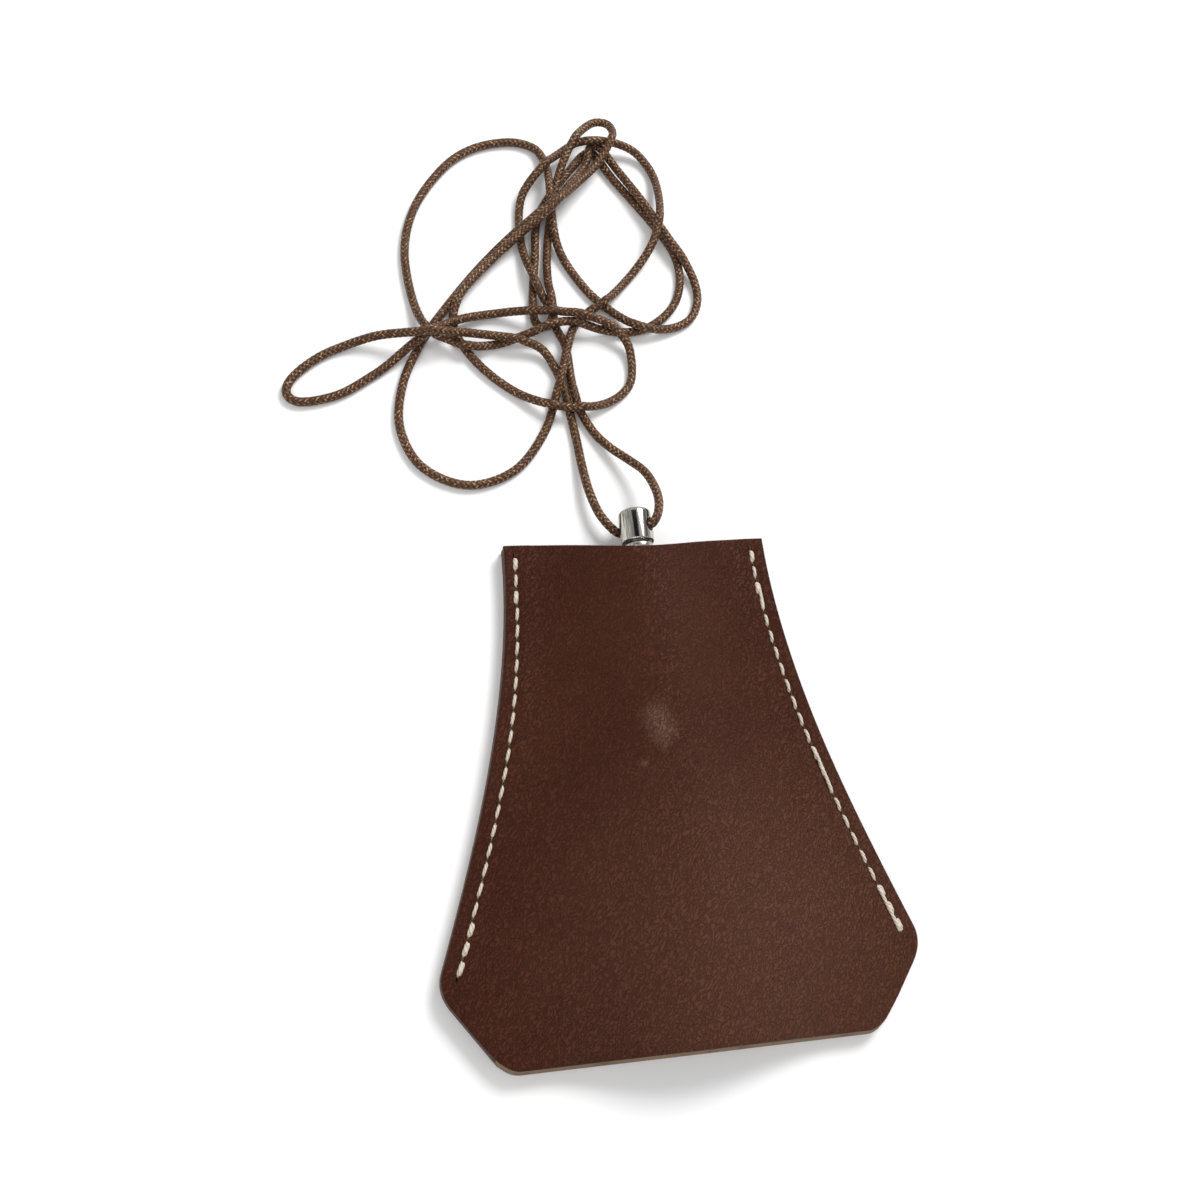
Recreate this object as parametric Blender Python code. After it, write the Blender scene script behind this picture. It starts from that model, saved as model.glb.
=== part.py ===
"""Bell-shaped leather key pouch on a neck cord, with a swivel snap hook inside.

The pouch lies on its back: +Z is up, +Y points from the open mouth to the top edge, and the
origin is the middle of the footprint of the pouch with its cord barrel. Two flat leather panels
are stitched along both flared sides and open at the top and at the mouth. A nickel barrel stands
out of the top slit. The neck cord passes through the barrel's cross hole, and a snap hook hangs
from the barrel on a swivel stem, inside the pouch.

"Drop" below means the distance from the top edge of the pouch towards the mouth, in millimetres.
"""

import math

import bmesh
import bpy
import numpy as np
from mathutils import Matrix, Vector

MM = 0.001

# Pouch outline
BODY_HEIGHT = 85.6
TOP_WIDTH = 46.8
WIDEST = 80.0  # where the sides meet the cut corners, before rounding
CORNER_DROP = 72.3
BOTTOM_WIDTH = 60.6
CORNER_ROUNDING = 3.2
BOTTOM_ROUND_WIDTH = 2.2
BOTTOM_ROUND_DROP = 2.0
TOP_EDGE_DIP = 3.1

# Leather
LEATHER = 1.6
GAP = 0.3
FLANGE = 4.7
REAR_TOP = LEATHER
FLANGE_BOTTOM = LEATHER + GAP
FLANGE_TOP = FLANGE_BOTTOM + LEATHER

# Stitching
STITCH_PITCH = 3.0
SEAM_INSET = 2.6
LEFT_SEAM_DRIFT = 0.9  # the left seam starts this much nearer the edge
SEAM_START_DROP = 1.9
SEAM_END_DROP = 72.6
THREAD_RADIUS = 0.36
SLOT_LENGTH = 2.1
SLOT_WIDTH = 1.2
GROOVE_WIDTH = 1.5
GROOVE_DEPTH = 0.95
GROOVE_REACH = 1.25  # past the middle of the first and last slots

# Barrel, hook and the channel they slide in
BARREL_RADIUS = 2.9
BARREL_END_DROP = -5.0
BARREL_LENGTH = 6.0
CHANNEL_CLEARANCE = 0.35
AXIS_Z = REAR_TOP + CHANNEL_CLEARANCE + BARREL_RADIUS
CHANNEL_HEIGHT = 2 * (CHANNEL_CLEARANCE + BARREL_RADIUS)
MOUTH_HEIGHT = 5.6
CROSS_HOLE_DROP = -1.9
CROSS_HOLE_RADIUS = 1.05
CROSS_HOLE_TILT = math.radians(42)
HOOK_ROD_RADIUS = 1.3
PIVOT_X = 3.4
PIVOT_DROP = 15.0
GATE_X = 3.7
GATE_TIP_DROP = 28.4
NOSE_DROP = 29.3
SPINE_X = -4.0
TOWARDS_MOUTH = Vector((0, -1, 0))

# Neck cord: it leaves the barrel at both ends of the cross hole and lies loose on the ground
CORD_RADIUS = 0.8
CORD_STEP = 1.0
HUMP_SLOPE = 0.3
HUMP_BLUR = 2.0
LAY_DISTANCE = 1.08 * 2 * CORD_RADIUS
BEND_LENGTH = 14.0  # a straight stretch of the tube
BEND_TURN = math.radians(65)  # and the most that it turns at one point

# The footprint of pouch and barrel is centred on the origin.
TOP_Y = (BODY_HEIGHT + BARREL_END_DROP) / 2


def at_drop(x, drop, z):
    """Point at a sideways place, a drop below the top edge and a height, in metres."""
    return Vector((x, TOP_Y - drop, z)) * MM


def smooth_step(value, start, end):
    t = min(max((value - start) / (end - start), 0.0), 1.0)
    return t * t * (3 - 2 * t)


def material(name, colour, roughness, metallic=0.0):
    made = bpy.data.materials.new(name)
    made.use_nodes = True
    shader = made.node_tree.nodes["Principled BSDF"]
    shader.inputs["Base Color"].default_value = (*colour, 1.0)
    shader.inputs["Roughness"].default_value = roughness
    shader.inputs["Metallic"].default_value = metallic
    return made


def add_object(name, shape, finish=None):
    made = bpy.data.objects.new(name, shape)
    bpy.context.collection.objects.link(made)
    if finish:
        shape.materials.append(finish)
    return made


def mesh_from_bmesh(name, shape):
    bmesh.ops.recalc_face_normals(shape, faces=shape.faces)
    mesh = bpy.data.meshes.new(name)
    shape.to_mesh(mesh)
    shape.free()
    return mesh


def cut(target, cutter, operation="DIFFERENCE"):
    """Adds a Boolean modifier and turns the second object into a hidden guide."""
    modifier = target.modifiers.new(cutter.name, "BOOLEAN")
    modifier.operation = operation
    modifier.solver = "EXACT"
    modifier.object = cutter
    cutter.hide_render = True
    cutter.display_type = "WIRE"


def turned(name, profile, centre, direction, segments=24, finish=None):
    """Solid of revolution: profile lists (distance along the axis, radius) from end to end."""
    shape = bmesh.new()
    rings = []
    for along, radius in profile:
        if radius == 0:
            rings.append([shape.verts.new((0, 0, along * MM))])
            continue
        ring = []
        for step in range(segments):
            angle = 2 * math.pi * step / segments
            place = Vector((radius * math.cos(angle), radius * math.sin(angle), along)) * MM
            ring.append(shape.verts.new(place))
        rings.append(ring)
    for near, far in zip(rings, rings[1:]):
        for step in range(segments):
            following = (step + 1) % segments
            corners = [near[step % len(near)], near[following % len(near)]]
            corners += [far[following % len(far)], far[step % len(far)]]
            shape.faces.new(list(dict.fromkeys(corners)))
    turn = Vector((0, 0, 1)).rotation_difference(direction).to_matrix().to_4x4()
    bmesh.ops.transform(shape, matrix=Matrix.Translation(centre) @ turn, verts=shape.verts)
    return add_object(name, mesh_from_bmesh(name, shape), finish)


def swept(name, points, radius, resolution, finish):
    """Round bar along a list of points, with filled ends."""
    curve = bpy.data.curves.new(name, "CURVE")
    curve.dimensions = "3D"
    curve.bevel_depth = radius * MM
    curve.bevel_resolution = resolution
    curve.use_fill_caps = True
    spline = curve.splines.new("POLY")
    spline.points.add(len(points) - 1)
    for point, place in zip(spline.points, points):
        point.co = (*place, 1.0)
    return add_object(name, curve, finish)


def round_bar(name, points, radius, sides=10):
    """Mesh bar along a list of points, for joining to other meshes."""
    shape = bmesh.new()
    rings = []
    for index, point in enumerate(points):
        before = points[max(index - 1, 0)]
        after = points[min(index + 1, len(points) - 1)]
        along = (after - before).normalized()
        upward = Vector((0, 0, 1))
        sideways = along.cross(upward).normalized()
        ring = []
        for step in range(sides):
            angle = 2 * math.pi * (step + 0.5) / sides
            offset = sideways * math.cos(angle) + upward * math.sin(angle)
            ring.append(shape.verts.new(point + offset * radius * MM))
        rings.append(ring)
    for near, far in zip(rings, rings[1:]):
        for step in range(sides):
            following = (step + 1) % sides
            shape.faces.new((near[step], near[following], far[following], far[step]))
    shape.faces.new(rings[0])
    shape.faces.new(rings[-1])
    return add_object(name, mesh_from_bmesh(name, shape))


def extruded(name, outline, low, high, finish=None):
    """Flat outline, given as (x, drop) points, between two heights."""
    shape = bmesh.new()
    corners = [shape.verts.new(at_drop(x, drop, low)) for x, drop in outline]
    face = shape.faces.new(corners)
    grown = bmesh.ops.extrude_face_region(shape, geom=[face])["geom"]
    raised = [item for item in grown if isinstance(item, bmesh.types.BMVert)]
    bmesh.ops.translate(shape, verts=raised, vec=(0, 0, (high - low) * MM))
    return add_object(name, mesh_from_bmesh(name, shape), finish)


def disc(x, drop, radius, steps=16):
    angles = [2 * math.pi * step / steps for step in range(steps)]
    return [(x + radius * math.cos(angle), drop + radius * math.sin(angle)) for angle in angles]


# ---------------------------------------------------------------- pouch outline


def flared_side(drop):
    """Half the width of the bell at a drop, without its cut corners."""
    t = drop / CORNER_DROP
    flare = 1.4 * t**2 - 0.4 * t**3
    return (TOP_WIDTH + (WIDEST - TOP_WIDTH) * flare) / 2


def half_width(drop):
    """Half the width of the bell at a drop: flared side, cut corner, rounded bottom corner."""
    side = flared_side(drop)
    slope = (WIDEST - BOTTOM_WIDTH) / 2 / (BODY_HEIGHT - CORNER_DROP)
    chamfer = WIDEST / 2 - slope * (drop - CORNER_DROP)
    near = max(CORNER_ROUNDING - abs(side - chamfer), 0.0)
    width = min(side, chamfer) - near**2 / (4 * CORNER_ROUNDING)
    into_round = max(drop - (BODY_HEIGHT - BOTTOM_ROUND_DROP), 0.0) / BOTTOM_ROUND_DROP
    return width - BOTTOM_ROUND_WIDTH * (1 - math.sqrt(max(1 - into_round**2, 0.0)))


def dipped(share, drop):
    """The curved cut of the top edge: it dips over the barrel."""
    return drop + TOP_EDGE_DIP * (1 - share**2) ** 4 * (1 - smooth_step(drop, 0, 24))


def outline_drops():
    """Drops of the outline's rows, closer together round the corners."""
    side = list(np.linspace(0, CORNER_DROP - 6, 13))
    corner = [CORNER_DROP - 3, CORNER_DROP - 1, CORNER_DROP + 1, CORNER_DROP + 3]
    chamfer = [CORNER_DROP + 8]
    round_steps = (0.0, 0.5, 0.8, 0.95, 1.0)
    bottom = [BODY_HEIGHT - BOTTOM_ROUND_DROP * (1 - step) for step in round_steps]
    return side + corner + chamfer + bottom


def rise(x, drop):
    """Height of the front panel's arch above its stitched flanges."""
    base = half_width(drop) - FLANGE
    if abs(x) >= base:
        return 0.0
    lowered = (CHANNEL_HEIGHT - MOUTH_HEIGHT) * smooth_step(drop, 50, BODY_HEIGHT)
    height = CHANNEL_HEIGHT - lowered - GAP
    return height * math.cos(math.pi * x / (2 * base)) ** 2


# ---------------------------------------------------------------- leather panels


def front_panel(finish):
    """Arched panel: flat flanges at the seams, a soft channel over the hook between them."""
    shape = bmesh.new()
    shares = [step / 6 for step in range(-6, 7)]
    layers = []
    for floor in (FLANGE_BOTTOM, FLANGE_TOP):
        rows = []
        for drop in outline_drops():
            edge = half_width(drop)
            inner = edge - FLANGE
            places = [-edge] + [share * inner for share in shares] + [edge]
            row = []
            for x in places:
                lowered = dipped(x / edge, drop)
                row.append(shape.verts.new(at_drop(x, lowered, floor + rise(x, drop))))
            rows.append(row)
        layers.append(rows)
    for rows in layers:
        for upper, lower in zip(rows, rows[1:]):
            for column in range(len(upper) - 1):
                near = (upper[column], upper[column + 1])
                shape.faces.new((*near, lower[column + 1], lower[column]))
    rims = []
    for rows in layers:
        right = [row[-1] for row in rows[1:-1]]
        left = [row[0] for row in rows[1:-1]]
        rims.append(rows[0] + right + rows[-1][::-1] + left[::-1])
    count = len(rims[0])
    for index in range(count):
        following = (index + 1) % count
        shape.faces.new((rims[0][index], rims[0][following], rims[1][following], rims[1][index]))
    return add_object("front_panel", mesh_from_bmesh("front_panel", shape), finish)


def rear_panel(finish):
    """Flat panel with the same outline, lying on the ground."""
    shares = np.linspace(-1, 1, 13)
    top = [(share * half_width(0), dipped(share, 0)) for share in shares]
    right = [(half_width(drop), drop) for drop in outline_drops()[1:-1]]
    bottom_edge = half_width(BODY_HEIGHT)
    bottom = [(bottom_edge, BODY_HEIGHT), (-bottom_edge, BODY_HEIGHT)]
    left = [(-x, drop) for x, drop in right[::-1]]
    return extruded("rear_panel", top + right + bottom + left, 0, REAR_TOP, finish)


# ---------------------------------------------------------------- stitched seams


def seam_inset(side, drop):
    drift = LEFT_SEAM_DRIFT * (1 - smooth_step(drop, 0, 40)) if side < 0 else 0.0
    return SEAM_INSET - drift


def seam_line(side):
    """Points every stitch pitch along one seam, as (x, drop), from top to bottom."""
    drops = np.linspace(SEAM_START_DROP, SEAM_END_DROP, 400)
    places = [(side * (flared_side(drop) - seam_inset(side, drop)), drop) for drop in drops]
    holes = [places[0]]
    for place in places:
        if math.dist(place, holes[-1]) >= STITCH_PITCH:
            holes.append(place)
    return holes


def seam_directions(holes):
    directions = []
    for index in range(len(holes)):
        before = holes[max(index - 1, 0)]
        after = holes[min(index + 1, len(holes) - 1)]
        length = math.dist(before, after)
        directions.append(((after[0] - before[0]) / length, (after[1] - before[1]) / length))
    return directions


def box_along(shape, place, direction, length, width, low, high):
    """Adds one box to a mesh, its length along the seam."""
    across = (-direction[1], direction[0])
    corners = []
    for z in (low, high):
        for along_sign, across_sign in ((-1, -1), (1, -1), (1, 1), (-1, 1)):
            forward = along_sign * length / 2
            aside = across_sign * width / 2
            x = place[0] + direction[0] * forward + across[0] * aside
            drop = place[1] + direction[1] * forward + across[1] * aside
            corners.append(shape.verts.new(at_drop(x, drop, z)))
    walls = ((0, 1, 5, 4), (1, 2, 6, 5), (2, 3, 7, 6), (3, 0, 4, 7))
    for face in ((0, 1, 2, 3), (4, 5, 6, 7), *walls):
        shape.faces.new([corners[index] for index in face])


def slot_cutter(name, low, high):
    """The stitch slots of both seams, as one guide."""
    shape = bmesh.new()
    for side in (-1, 1):
        holes = seam_line(side)
        for place, direction in zip(holes, seam_directions(holes)):
            box_along(shape, place, direction, SLOT_LENGTH, SLOT_WIDTH, low, high)
    return add_object(name, mesh_from_bmesh(name, shape))


def groove_cutter(side):
    """Channel under the rear panel that keeps the thread off the ground."""
    holes = seam_line(side)
    directions = seam_directions(holes)
    shape = bmesh.new()
    sections = []
    for index, (place, direction) in enumerate(zip(holes, directions)):
        reach = 0.0
        if index == 0:
            reach = -GROOVE_REACH
        if index == len(holes) - 1:
            reach = GROOVE_REACH
        x = place[0] + direction[0] * reach
        drop = place[1] + direction[1] * reach
        across = (-direction[1] * GROOVE_WIDTH / 2, direction[0] * GROOVE_WIDTH / 2)
        corners = []
        for sign, z in ((-1, -1.0), (1, -1.0), (1, GROOVE_DEPTH), (-1, GROOVE_DEPTH)):
            corner = at_drop(x + sign * across[0], drop + sign * across[1], z)
            corners.append(shape.verts.new(corner))
        sections.append(corners)
    for near, far in zip(sections, sections[1:]):
        for corner in range(4):
            following = (corner + 1) % 4
            shape.faces.new((near[corner], near[following], far[following], far[corner]))
    shape.faces.new(sections[0])
    shape.faces.new(sections[-1])
    name = "groove_guide_left" if side < 0 else "groove_guide_right"
    return add_object(name, mesh_from_bmesh(name, shape))


def seam_thread(name, side, surface_z, turn_z, finish):
    """One thread of a seam: a stitch on the surface, then a dip into the next slot."""
    holes = seam_line(side)
    lean = SLOT_LENGTH / 2 - THREAD_RADIUS - 0.12
    points = []
    for index, (place, direction) in enumerate(zip(holes, seam_directions(holes))):
        before = (place[0] - direction[0] * lean, place[1] - direction[1] * lean)
        after = (place[0] + direction[0] * lean, place[1] + direction[1] * lean)
        if index > 0:
            points.append(at_drop(*before, surface_z))
        points.append(at_drop(*place, turn_z))
        if index < len(holes) - 1:
            points.append(at_drop(*after, surface_z))
    return swept(name, points, THREAD_RADIUS, 1, finish)


def stitching(finish):
    middle = REAR_TOP + GAP / 2
    front_surface = FLANGE_TOP + THREAD_RADIUS + 0.1
    rear_surface = THREAD_RADIUS + 0.15
    for side, label in ((-1, "left"), (1, "right")):
        seam_thread(f"{label}_front_thread", side, front_surface, middle + 0.55, finish)
        seam_thread(f"{label}_rear_thread", side, rear_surface, middle - 0.45, finish)


# ---------------------------------------------------------------- barrel and swivel


def cord_barrel(finish):
    """Nickel barrel: a blind bore for the swivel below, a cross hole for the cord above."""
    end = BARREL_LENGTH
    profile = [(0, 0), (0, 2.4), (0.2, 2.75), (0.6, BARREL_RADIUS), (end - 0.4, BARREL_RADIUS)]
    profile += [(end, 2.5), (end, 2.0), (end - 1.6, 2.0), (end - 1.6, 0)]
    start = at_drop(0, BARREL_END_DROP, AXIS_Z)
    barrel = turned("cord_barrel", profile, start, TOWARDS_MOUTH, 28, finish)
    across = Vector((math.cos(CROSS_HOLE_TILT), 0, math.sin(CROSS_HOLE_TILT)))
    hole_start = at_drop(0, CROSS_HOLE_DROP, AXIS_Z) - across * 5 * MM
    rim = [(0, 0), (0, CROSS_HOLE_RADIUS), (10, CROSS_HOLE_RADIUS), (10, 0)]
    cut(barrel, turned("cross_hole_guide", rim, hole_start, across, 16))
    return barrel


def barrel_collar(finish):
    """Domed bush pressed into the barrel's mouth, which keeps the stem's head in."""
    profile = [(0, 1.2), (0, 1.82), (0.7, 1.82), (0.7, 2.5), (1.3, 2.6), (2.0, 2.35)]
    profile += [(2.5, 1.7), (2.5, 1.2), (0, 1.2)]
    return turned("barrel_collar", profile, at_drop(0, 0.6, AXIS_Z), TOWARDS_MOUTH, 24, finish)


def swivel_stem(finish):
    """Headed pin that turns in the collar and is fixed in the hook's neck."""
    profile = [(0, 0), (0, 1.6), (0.75, 1.6), (0.75, 0.95), (8.6, 0.95), (8.6, 0)]
    return turned("swivel_stem", profile, at_drop(0, -0.4, AXIS_Z), TOWARDS_MOUTH, 16, finish)


# ---------------------------------------------------------------- snap hook

def hook_rod_points():
    """Centre line of the hook: neck, spine, round bottom and nose."""
    steps = [math.pi * step / 8 for step in range(9)]
    middle = (GATE_X + SPINE_X) / 2
    reach = (GATE_X - SPINE_X) / 2
    shoulder = [(0.0, 10.5), (-1.6, 11.6), (-3.2, 13.2), (SPINE_X, 15.6), (SPINE_X, 22.0)]
    bottom = [(middle - reach * math.cos(angle), 32.0 + 4.2 * math.sin(angle)) for angle in steps]
    nose = [(GATE_X, NOSE_DROP + 1.2), (GATE_X, NOSE_DROP)]
    return [at_drop(x, drop, AXIS_Z) for x, drop in shoulder + bottom + nose]


def hook_body(finish):
    """Neck, clevis for the gate, spine and nose in one casting."""
    half = HOOK_ROD_RADIUS + 0.1
    lug = [(-2.4, 9.0), (2.4, 9.0), (4.4, 12.2), (5.0, PIVOT_DROP)]
    lug += [(4.4, 16.6), (2.6, 16.6), (-1.0, 13.4), (-2.4, 12.0)]
    body = extruded("hook_body", lug, AXIS_Z - half, AXIS_Z + half, finish)
    cut(body, round_bar("rod_guide", hook_rod_points(), HOOK_ROD_RADIUS), "UNION")
    neck = [(0, 0), (0, 1.9), (0.4, 2.25), (4.4, 2.25), (5.2, 1.6), (5.2, 0)]
    cut(body, turned("neck_guide", neck, at_drop(0, 5.3, AXIS_Z), TOWARDS_MOUTH, 20), "UNION")
    bore = [(0, 0), (0, 1.1), (5, 1.1), (5, 0)]
    cut(body, turned("stem_bore_guide", bore, at_drop(0, 3.5, AXIS_Z), TOWARDS_MOUTH, 16))
    slot = [(0.9, PIVOT_DROP - 2.4), (9, PIVOT_DROP - 2.4), (9, 20), (0.9, 20)]
    cut(body, extruded("clevis_slot_guide", slot, AXIS_Z - 0.65, AXIS_Z + 0.65))
    hole = disc(PIVOT_X, PIVOT_DROP, 0.65, 12)
    cut(body, extruded("pin_hole_guide", hole, AXIS_Z - 3, AXIS_Z + 3))
    return body


def hook_gate(finish):
    """Lever that closes the hook, with a flat eye on the pin and a thumb tab."""
    pivot = at_drop(PIVOT_X, PIVOT_DROP, AXIS_Z)
    eye = disc(PIVOT_X, PIVOT_DROP, 1.5, 16)
    gate = extruded("hook_gate", eye, AXIS_Z - 0.45, AXIS_Z + 0.45, finish)
    arm = [at_drop(GATE_X, drop, AXIS_Z) for drop in (PIVOT_DROP + 2.3, 22.0, GATE_TIP_DROP)]
    cut(gate, round_bar("gate_arm_guide", arm, 1.05), "UNION")
    tang = [(PIVOT_X - 0.8, PIVOT_DROP + 0.9), (PIVOT_X + 1.2, PIVOT_DROP + 0.9)]
    tang += [(GATE_X + 0.9, 18.4), (GATE_X - 0.9, 18.4)]
    cut(gate, extruded("tang_guide", tang, AXIS_Z - 0.4, AXIS_Z + 0.4), "UNION")
    tab = [(GATE_X + 0.3, 18.0), (5.6, 18.8), (5.9, 20.0), (5.4, 21.0), (GATE_X + 0.3, 21.6)]
    cut(gate, extruded("thumb_tab_guide", tab, AXIS_Z - 0.8, AXIS_Z + 0.8), "UNION")
    hole = disc(PIVOT_X, PIVOT_DROP, 0.65, 12)
    cut(gate, extruded("gate_hole_guide", hole, AXIS_Z - 3, AXIS_Z + 3))
    gate.data.transform(Matrix.Translation(-pivot))
    gate.location = pivot
    return gate


def gate_pin(finish):
    half = HOOK_ROD_RADIUS + 0.1
    outline = disc(PIVOT_X, PIVOT_DROP, 0.5, 12)
    return extruded("gate_pin", outline, AXIS_Z - half, AXIS_Z + half, finish)


def gate_spring(finish):
    """Bent steel leaf between the casting and the gate's inner side."""
    leaf = [(0.9, 14.2), (1.2, 14.0), (2.1, 16.9), (2.45, 21.0), (2.15, 21.0), (1.8, 17.0)]
    return extruded("gate_spring", leaf, AXIS_Z - 0.55, AXIS_Z + 0.55, finish)


# ---------------------------------------------------------------- neck cord

# Rows are x, y and height, from the lower hole mouth down to the ground.
LOWER_EXIT = [
    (-2.38, 42.2, 2.71), (-3.1, 42.5, 2.75), (-3.9, 43.3, 2.75), (-5.0, 44.8, 2.75),
    (-5.9, 46.5, 2.7), (-6.9, 50.1, 2.4), (-7.3, 53.1, 1.9), (-7.6, 57.1, 1.3),
]

# Rows are x, y and layer: where two stretches meet, the one on the higher layer lies on top.
ROUTE = [
    (-7.8, 61.1, 1), (-8.4, 66.6, 1), (-9.1, 72.1, 1), (-10.9, 77.2, 4), (-12.7, 79.5, 7),
    (-18.8, 81.2, 9), (-23.3, 81.8, 9), (-33.8, 81.2, 9), (-43.6, 81.4, 9), (-52, 78.6, 9),
    (-58, 73.3, 9), (-58.5, 70.9, 9), (-57, 69.5, 9), (-50.2, 70.5, 9), (-43, 74.8, 8),
    (-34.5, 81, 8), (-22.4, 86.8, 8), (-8.6, 86, 8), (-0.4, 84.4, 8), (2.4, 82.5, 7),
    (4.1, 79.8, 6), (3.4, 72.5, 5), (-3.3, 67.8, 5), (-12, 67.8, 5), (-23.3, 75.6, 2),
    (-28.2, 84.1, 2), (-27.4, 89.3, 3), (-20.3, 98, 8), (-16, 101.9, 8), (-8.2, 107.9, 8),
    (0.1, 117.2, 8), (2.9, 120.5, 8), (5.7, 126, 8), (4.9, 128.4, 8), (2.7, 128.9, 8),
    (-0.5, 126.3, 8), (-5.1, 118.5, 8), (-8.4, 106.1, 3), (-10, 94, 3), (-10.1, 85.6, 2),
    (-11.5, 84, 2), (-12.9, 85, 2), (-13.2, 88.6, 3), (-11.8, 99.1, 3), (-10.2, 108.7, 3),
    (-2.4, 120.2, 4), (0.3, 123.3, 4), (1.9, 123.9, 4), (3, 122.4, 4), (5.1, 118.6, 2),
    (16, 100, 3), (14.7, 90.4, 3), (7.9, 84.4, 3), (-0.4, 83.6, 4), (-7.4, 84.6, 7),
    (-14.8, 82.4, 7), (-26.4, 79.8, 7), (-29.6, 81.3, 7), (-32.2, 82.5, 6), (-34.1, 85.1, 4),
    (-36.2, 99.6, 4), (-33.8, 109.8, 4), (-27.2, 119.6, 4), (-22.5, 123.3, 4), (-17.3, 125.2, 4),
    (-12.5, 125.5, 4), (-9.2, 124, 4), (-7.9, 120.1, 4), (-8, 110.4, 4), (-7.3, 102, 4),
    (-3, 93.3, 4), (0.3, 89.4, 4), (7.4, 83.8, 4), (16.3, 85.9, 4), (18.9, 89.9, 4),
    (19, 94.5, 4), (14.8, 103, 4), (6.6, 118.7, 2), (3.1, 124.2, 4), (1.5, 124.2, 4),
    (0.3, 120.6, 5), (-3.3, 115.4, 5), (-7.3, 109.9, 7), (-11.1, 107.2, 7), (-19.3, 100.6, 7),
    (-30.3, 87.3, 6), (-34.8, 80.5, 3), (-38.3, 72.6, 3), (-39.3, 64.1, 3), (-36.1, 56.7, 3),
    (-28.4, 52.9, 3), (-20, 55.3, 3), (-13.6, 62.9, 3), (-10.3, 71.5, 6), (-5.9, 84.4, 6),
    (-3.3, 87.2, 5), (0, 89.1, 5), (4.7, 93.9, 5), (11.4, 102.6, 5), (13.9, 113.8, 5),
    (13.4, 120, 5), (10.5, 123.7, 5), (6.2, 124.7, 5), (1.7, 124.2, 5), (-2.2, 123.8, 5),
    (-12.1, 114.5, 5), (-13.6, 111.1, 5), (-14.1, 102.6, 5), (-12.3, 92.9, 5), (-9.5, 87.1, 1),
    (-9.2, 84.4, 1), (-7.9, 80.9, 1), (-7.1, 69.2, 1), (-4.5, 63, 1),
]

# Rows are x, y and height, from the ground up and over to the upper hole mouth.
UPPER_EXIT = [
    (-2.1, 59.6, 1.5), (0.8, 56.4, 2.8), (3.0, 53.5, 4.2), (4.0, 50, 5.7), (4.2, 46.7, 6.8),
    (3.8, 44.6, 7.2), (3.1, 43, 7.35), (2.38, 42.2, 6.99),
]


def mix(first, second, first_knot, second_knot, knot):
    weight = (knot - first_knot) / (second_knot - first_knot)
    return first * (1 - weight) + second * weight


def smooth_curve(rows, step):
    """Rows on a centripetal Catmull-Rom curve through the given rows, whose first values are x, y."""
    rows = np.vstack([2 * rows[0] - rows[1], rows, 2 * rows[-1] - rows[-2]])
    gaps = np.linalg.norm(np.diff(rows[:, :2], axis=0), axis=1)
    knots = np.concatenate([[0], np.cumsum(np.sqrt(gaps))])
    fine = []
    for i in range(1, len(rows) - 2):
        p = rows[i - 1 : i + 3]
        k = knots[i - 1 : i + 3]
        count = max(int(gaps[i] / step), 1)
        for t in np.linspace(k[1], k[2], count, endpoint=False):
            edges = [mix(p[j], p[j + 1], k[j], k[j + 1], t) for j in range(3)]
            halves = [mix(edges[j], edges[j + 1], k[j], k[j + 2], t) for j in range(2)]
            fine.append(mix(halves[0], halves[1], k[1], k[2], t))
    fine.append(rows[-2])
    return np.array(fine)


def evenly_spaced(rows, step):
    lengths = np.linalg.norm(np.diff(rows[:, :2], axis=0), axis=1)
    along = np.concatenate([[0], np.cumsum(lengths)])
    marks = np.linspace(0, along[-1], int(along[-1] / step) + 1)
    return np.column_stack([np.interp(marks, along, column) for column in rows.T])


def contacts(close):
    """Pairs of points that are close together, gathered into one group for each contact."""
    waiting = {tuple(pair) for pair in np.argwhere(np.triu(close)).tolist()}
    nearby = [(a, b) for a in range(-2, 3) for b in range(-2, 3)]
    groups = []
    while waiting:
        group = [waiting.pop()]
        for i, j in group:
            found = {(i + a, j + b) for a, b in nearby} & waiting
            waiting -= found
            group.extend(sorted(found))
        groups.append(np.array(group))
    return groups


def lifts(plan):
    """For each pair of touching points: the upper point, the lower point and the height between."""
    spread = np.linalg.norm(plan[:, None, :2] - plan[None, :, :2], axis=2)
    index = np.arange(len(plan))
    apart = np.abs(index[:, None] - index[None, :]) * CORD_STEP > 5.2 * CORD_RADIUS
    layer = plan[:, 3]
    found = []
    for group in contacts((spread < LAY_DISTANCE) & apart):
        distance = spread[group[:, 0], group[:, 1]]
        first, second = group[distance.argmin()]
        if layer[first] <= layer[second]:
            group = group[:, ::-1]
        height = np.sqrt(LAY_DISTANCE**2 - distance**2)
        found.append(np.column_stack([group, height]))
    found = np.vstack(found)
    return found[:, 0].astype(int), found[:, 1].astype(int), found[:, 2]


def humped(need):
    """Long low humps that reach the needed rise everywhere."""
    slope = need.copy()
    for i in range(1, len(slope)):
        slope[i] = max(slope[i], slope[i - 1] - HUMP_SLOPE * CORD_STEP)
    for i in range(len(slope) - 2, -1, -1):
        slope[i] = max(slope[i], slope[i + 1] - HUMP_SLOPE * CORD_STEP)
    reach = int(3 * HUMP_BLUR / CORD_STEP)
    bell = np.exp(-0.5 * (np.arange(-reach, reach + 1) * CORD_STEP / HUMP_BLUR) ** 2)
    smooth = np.convolve(np.pad(slope, reach, mode="edge"), bell / bell.sum(), "valid")
    return np.maximum(smooth, need)


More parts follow.
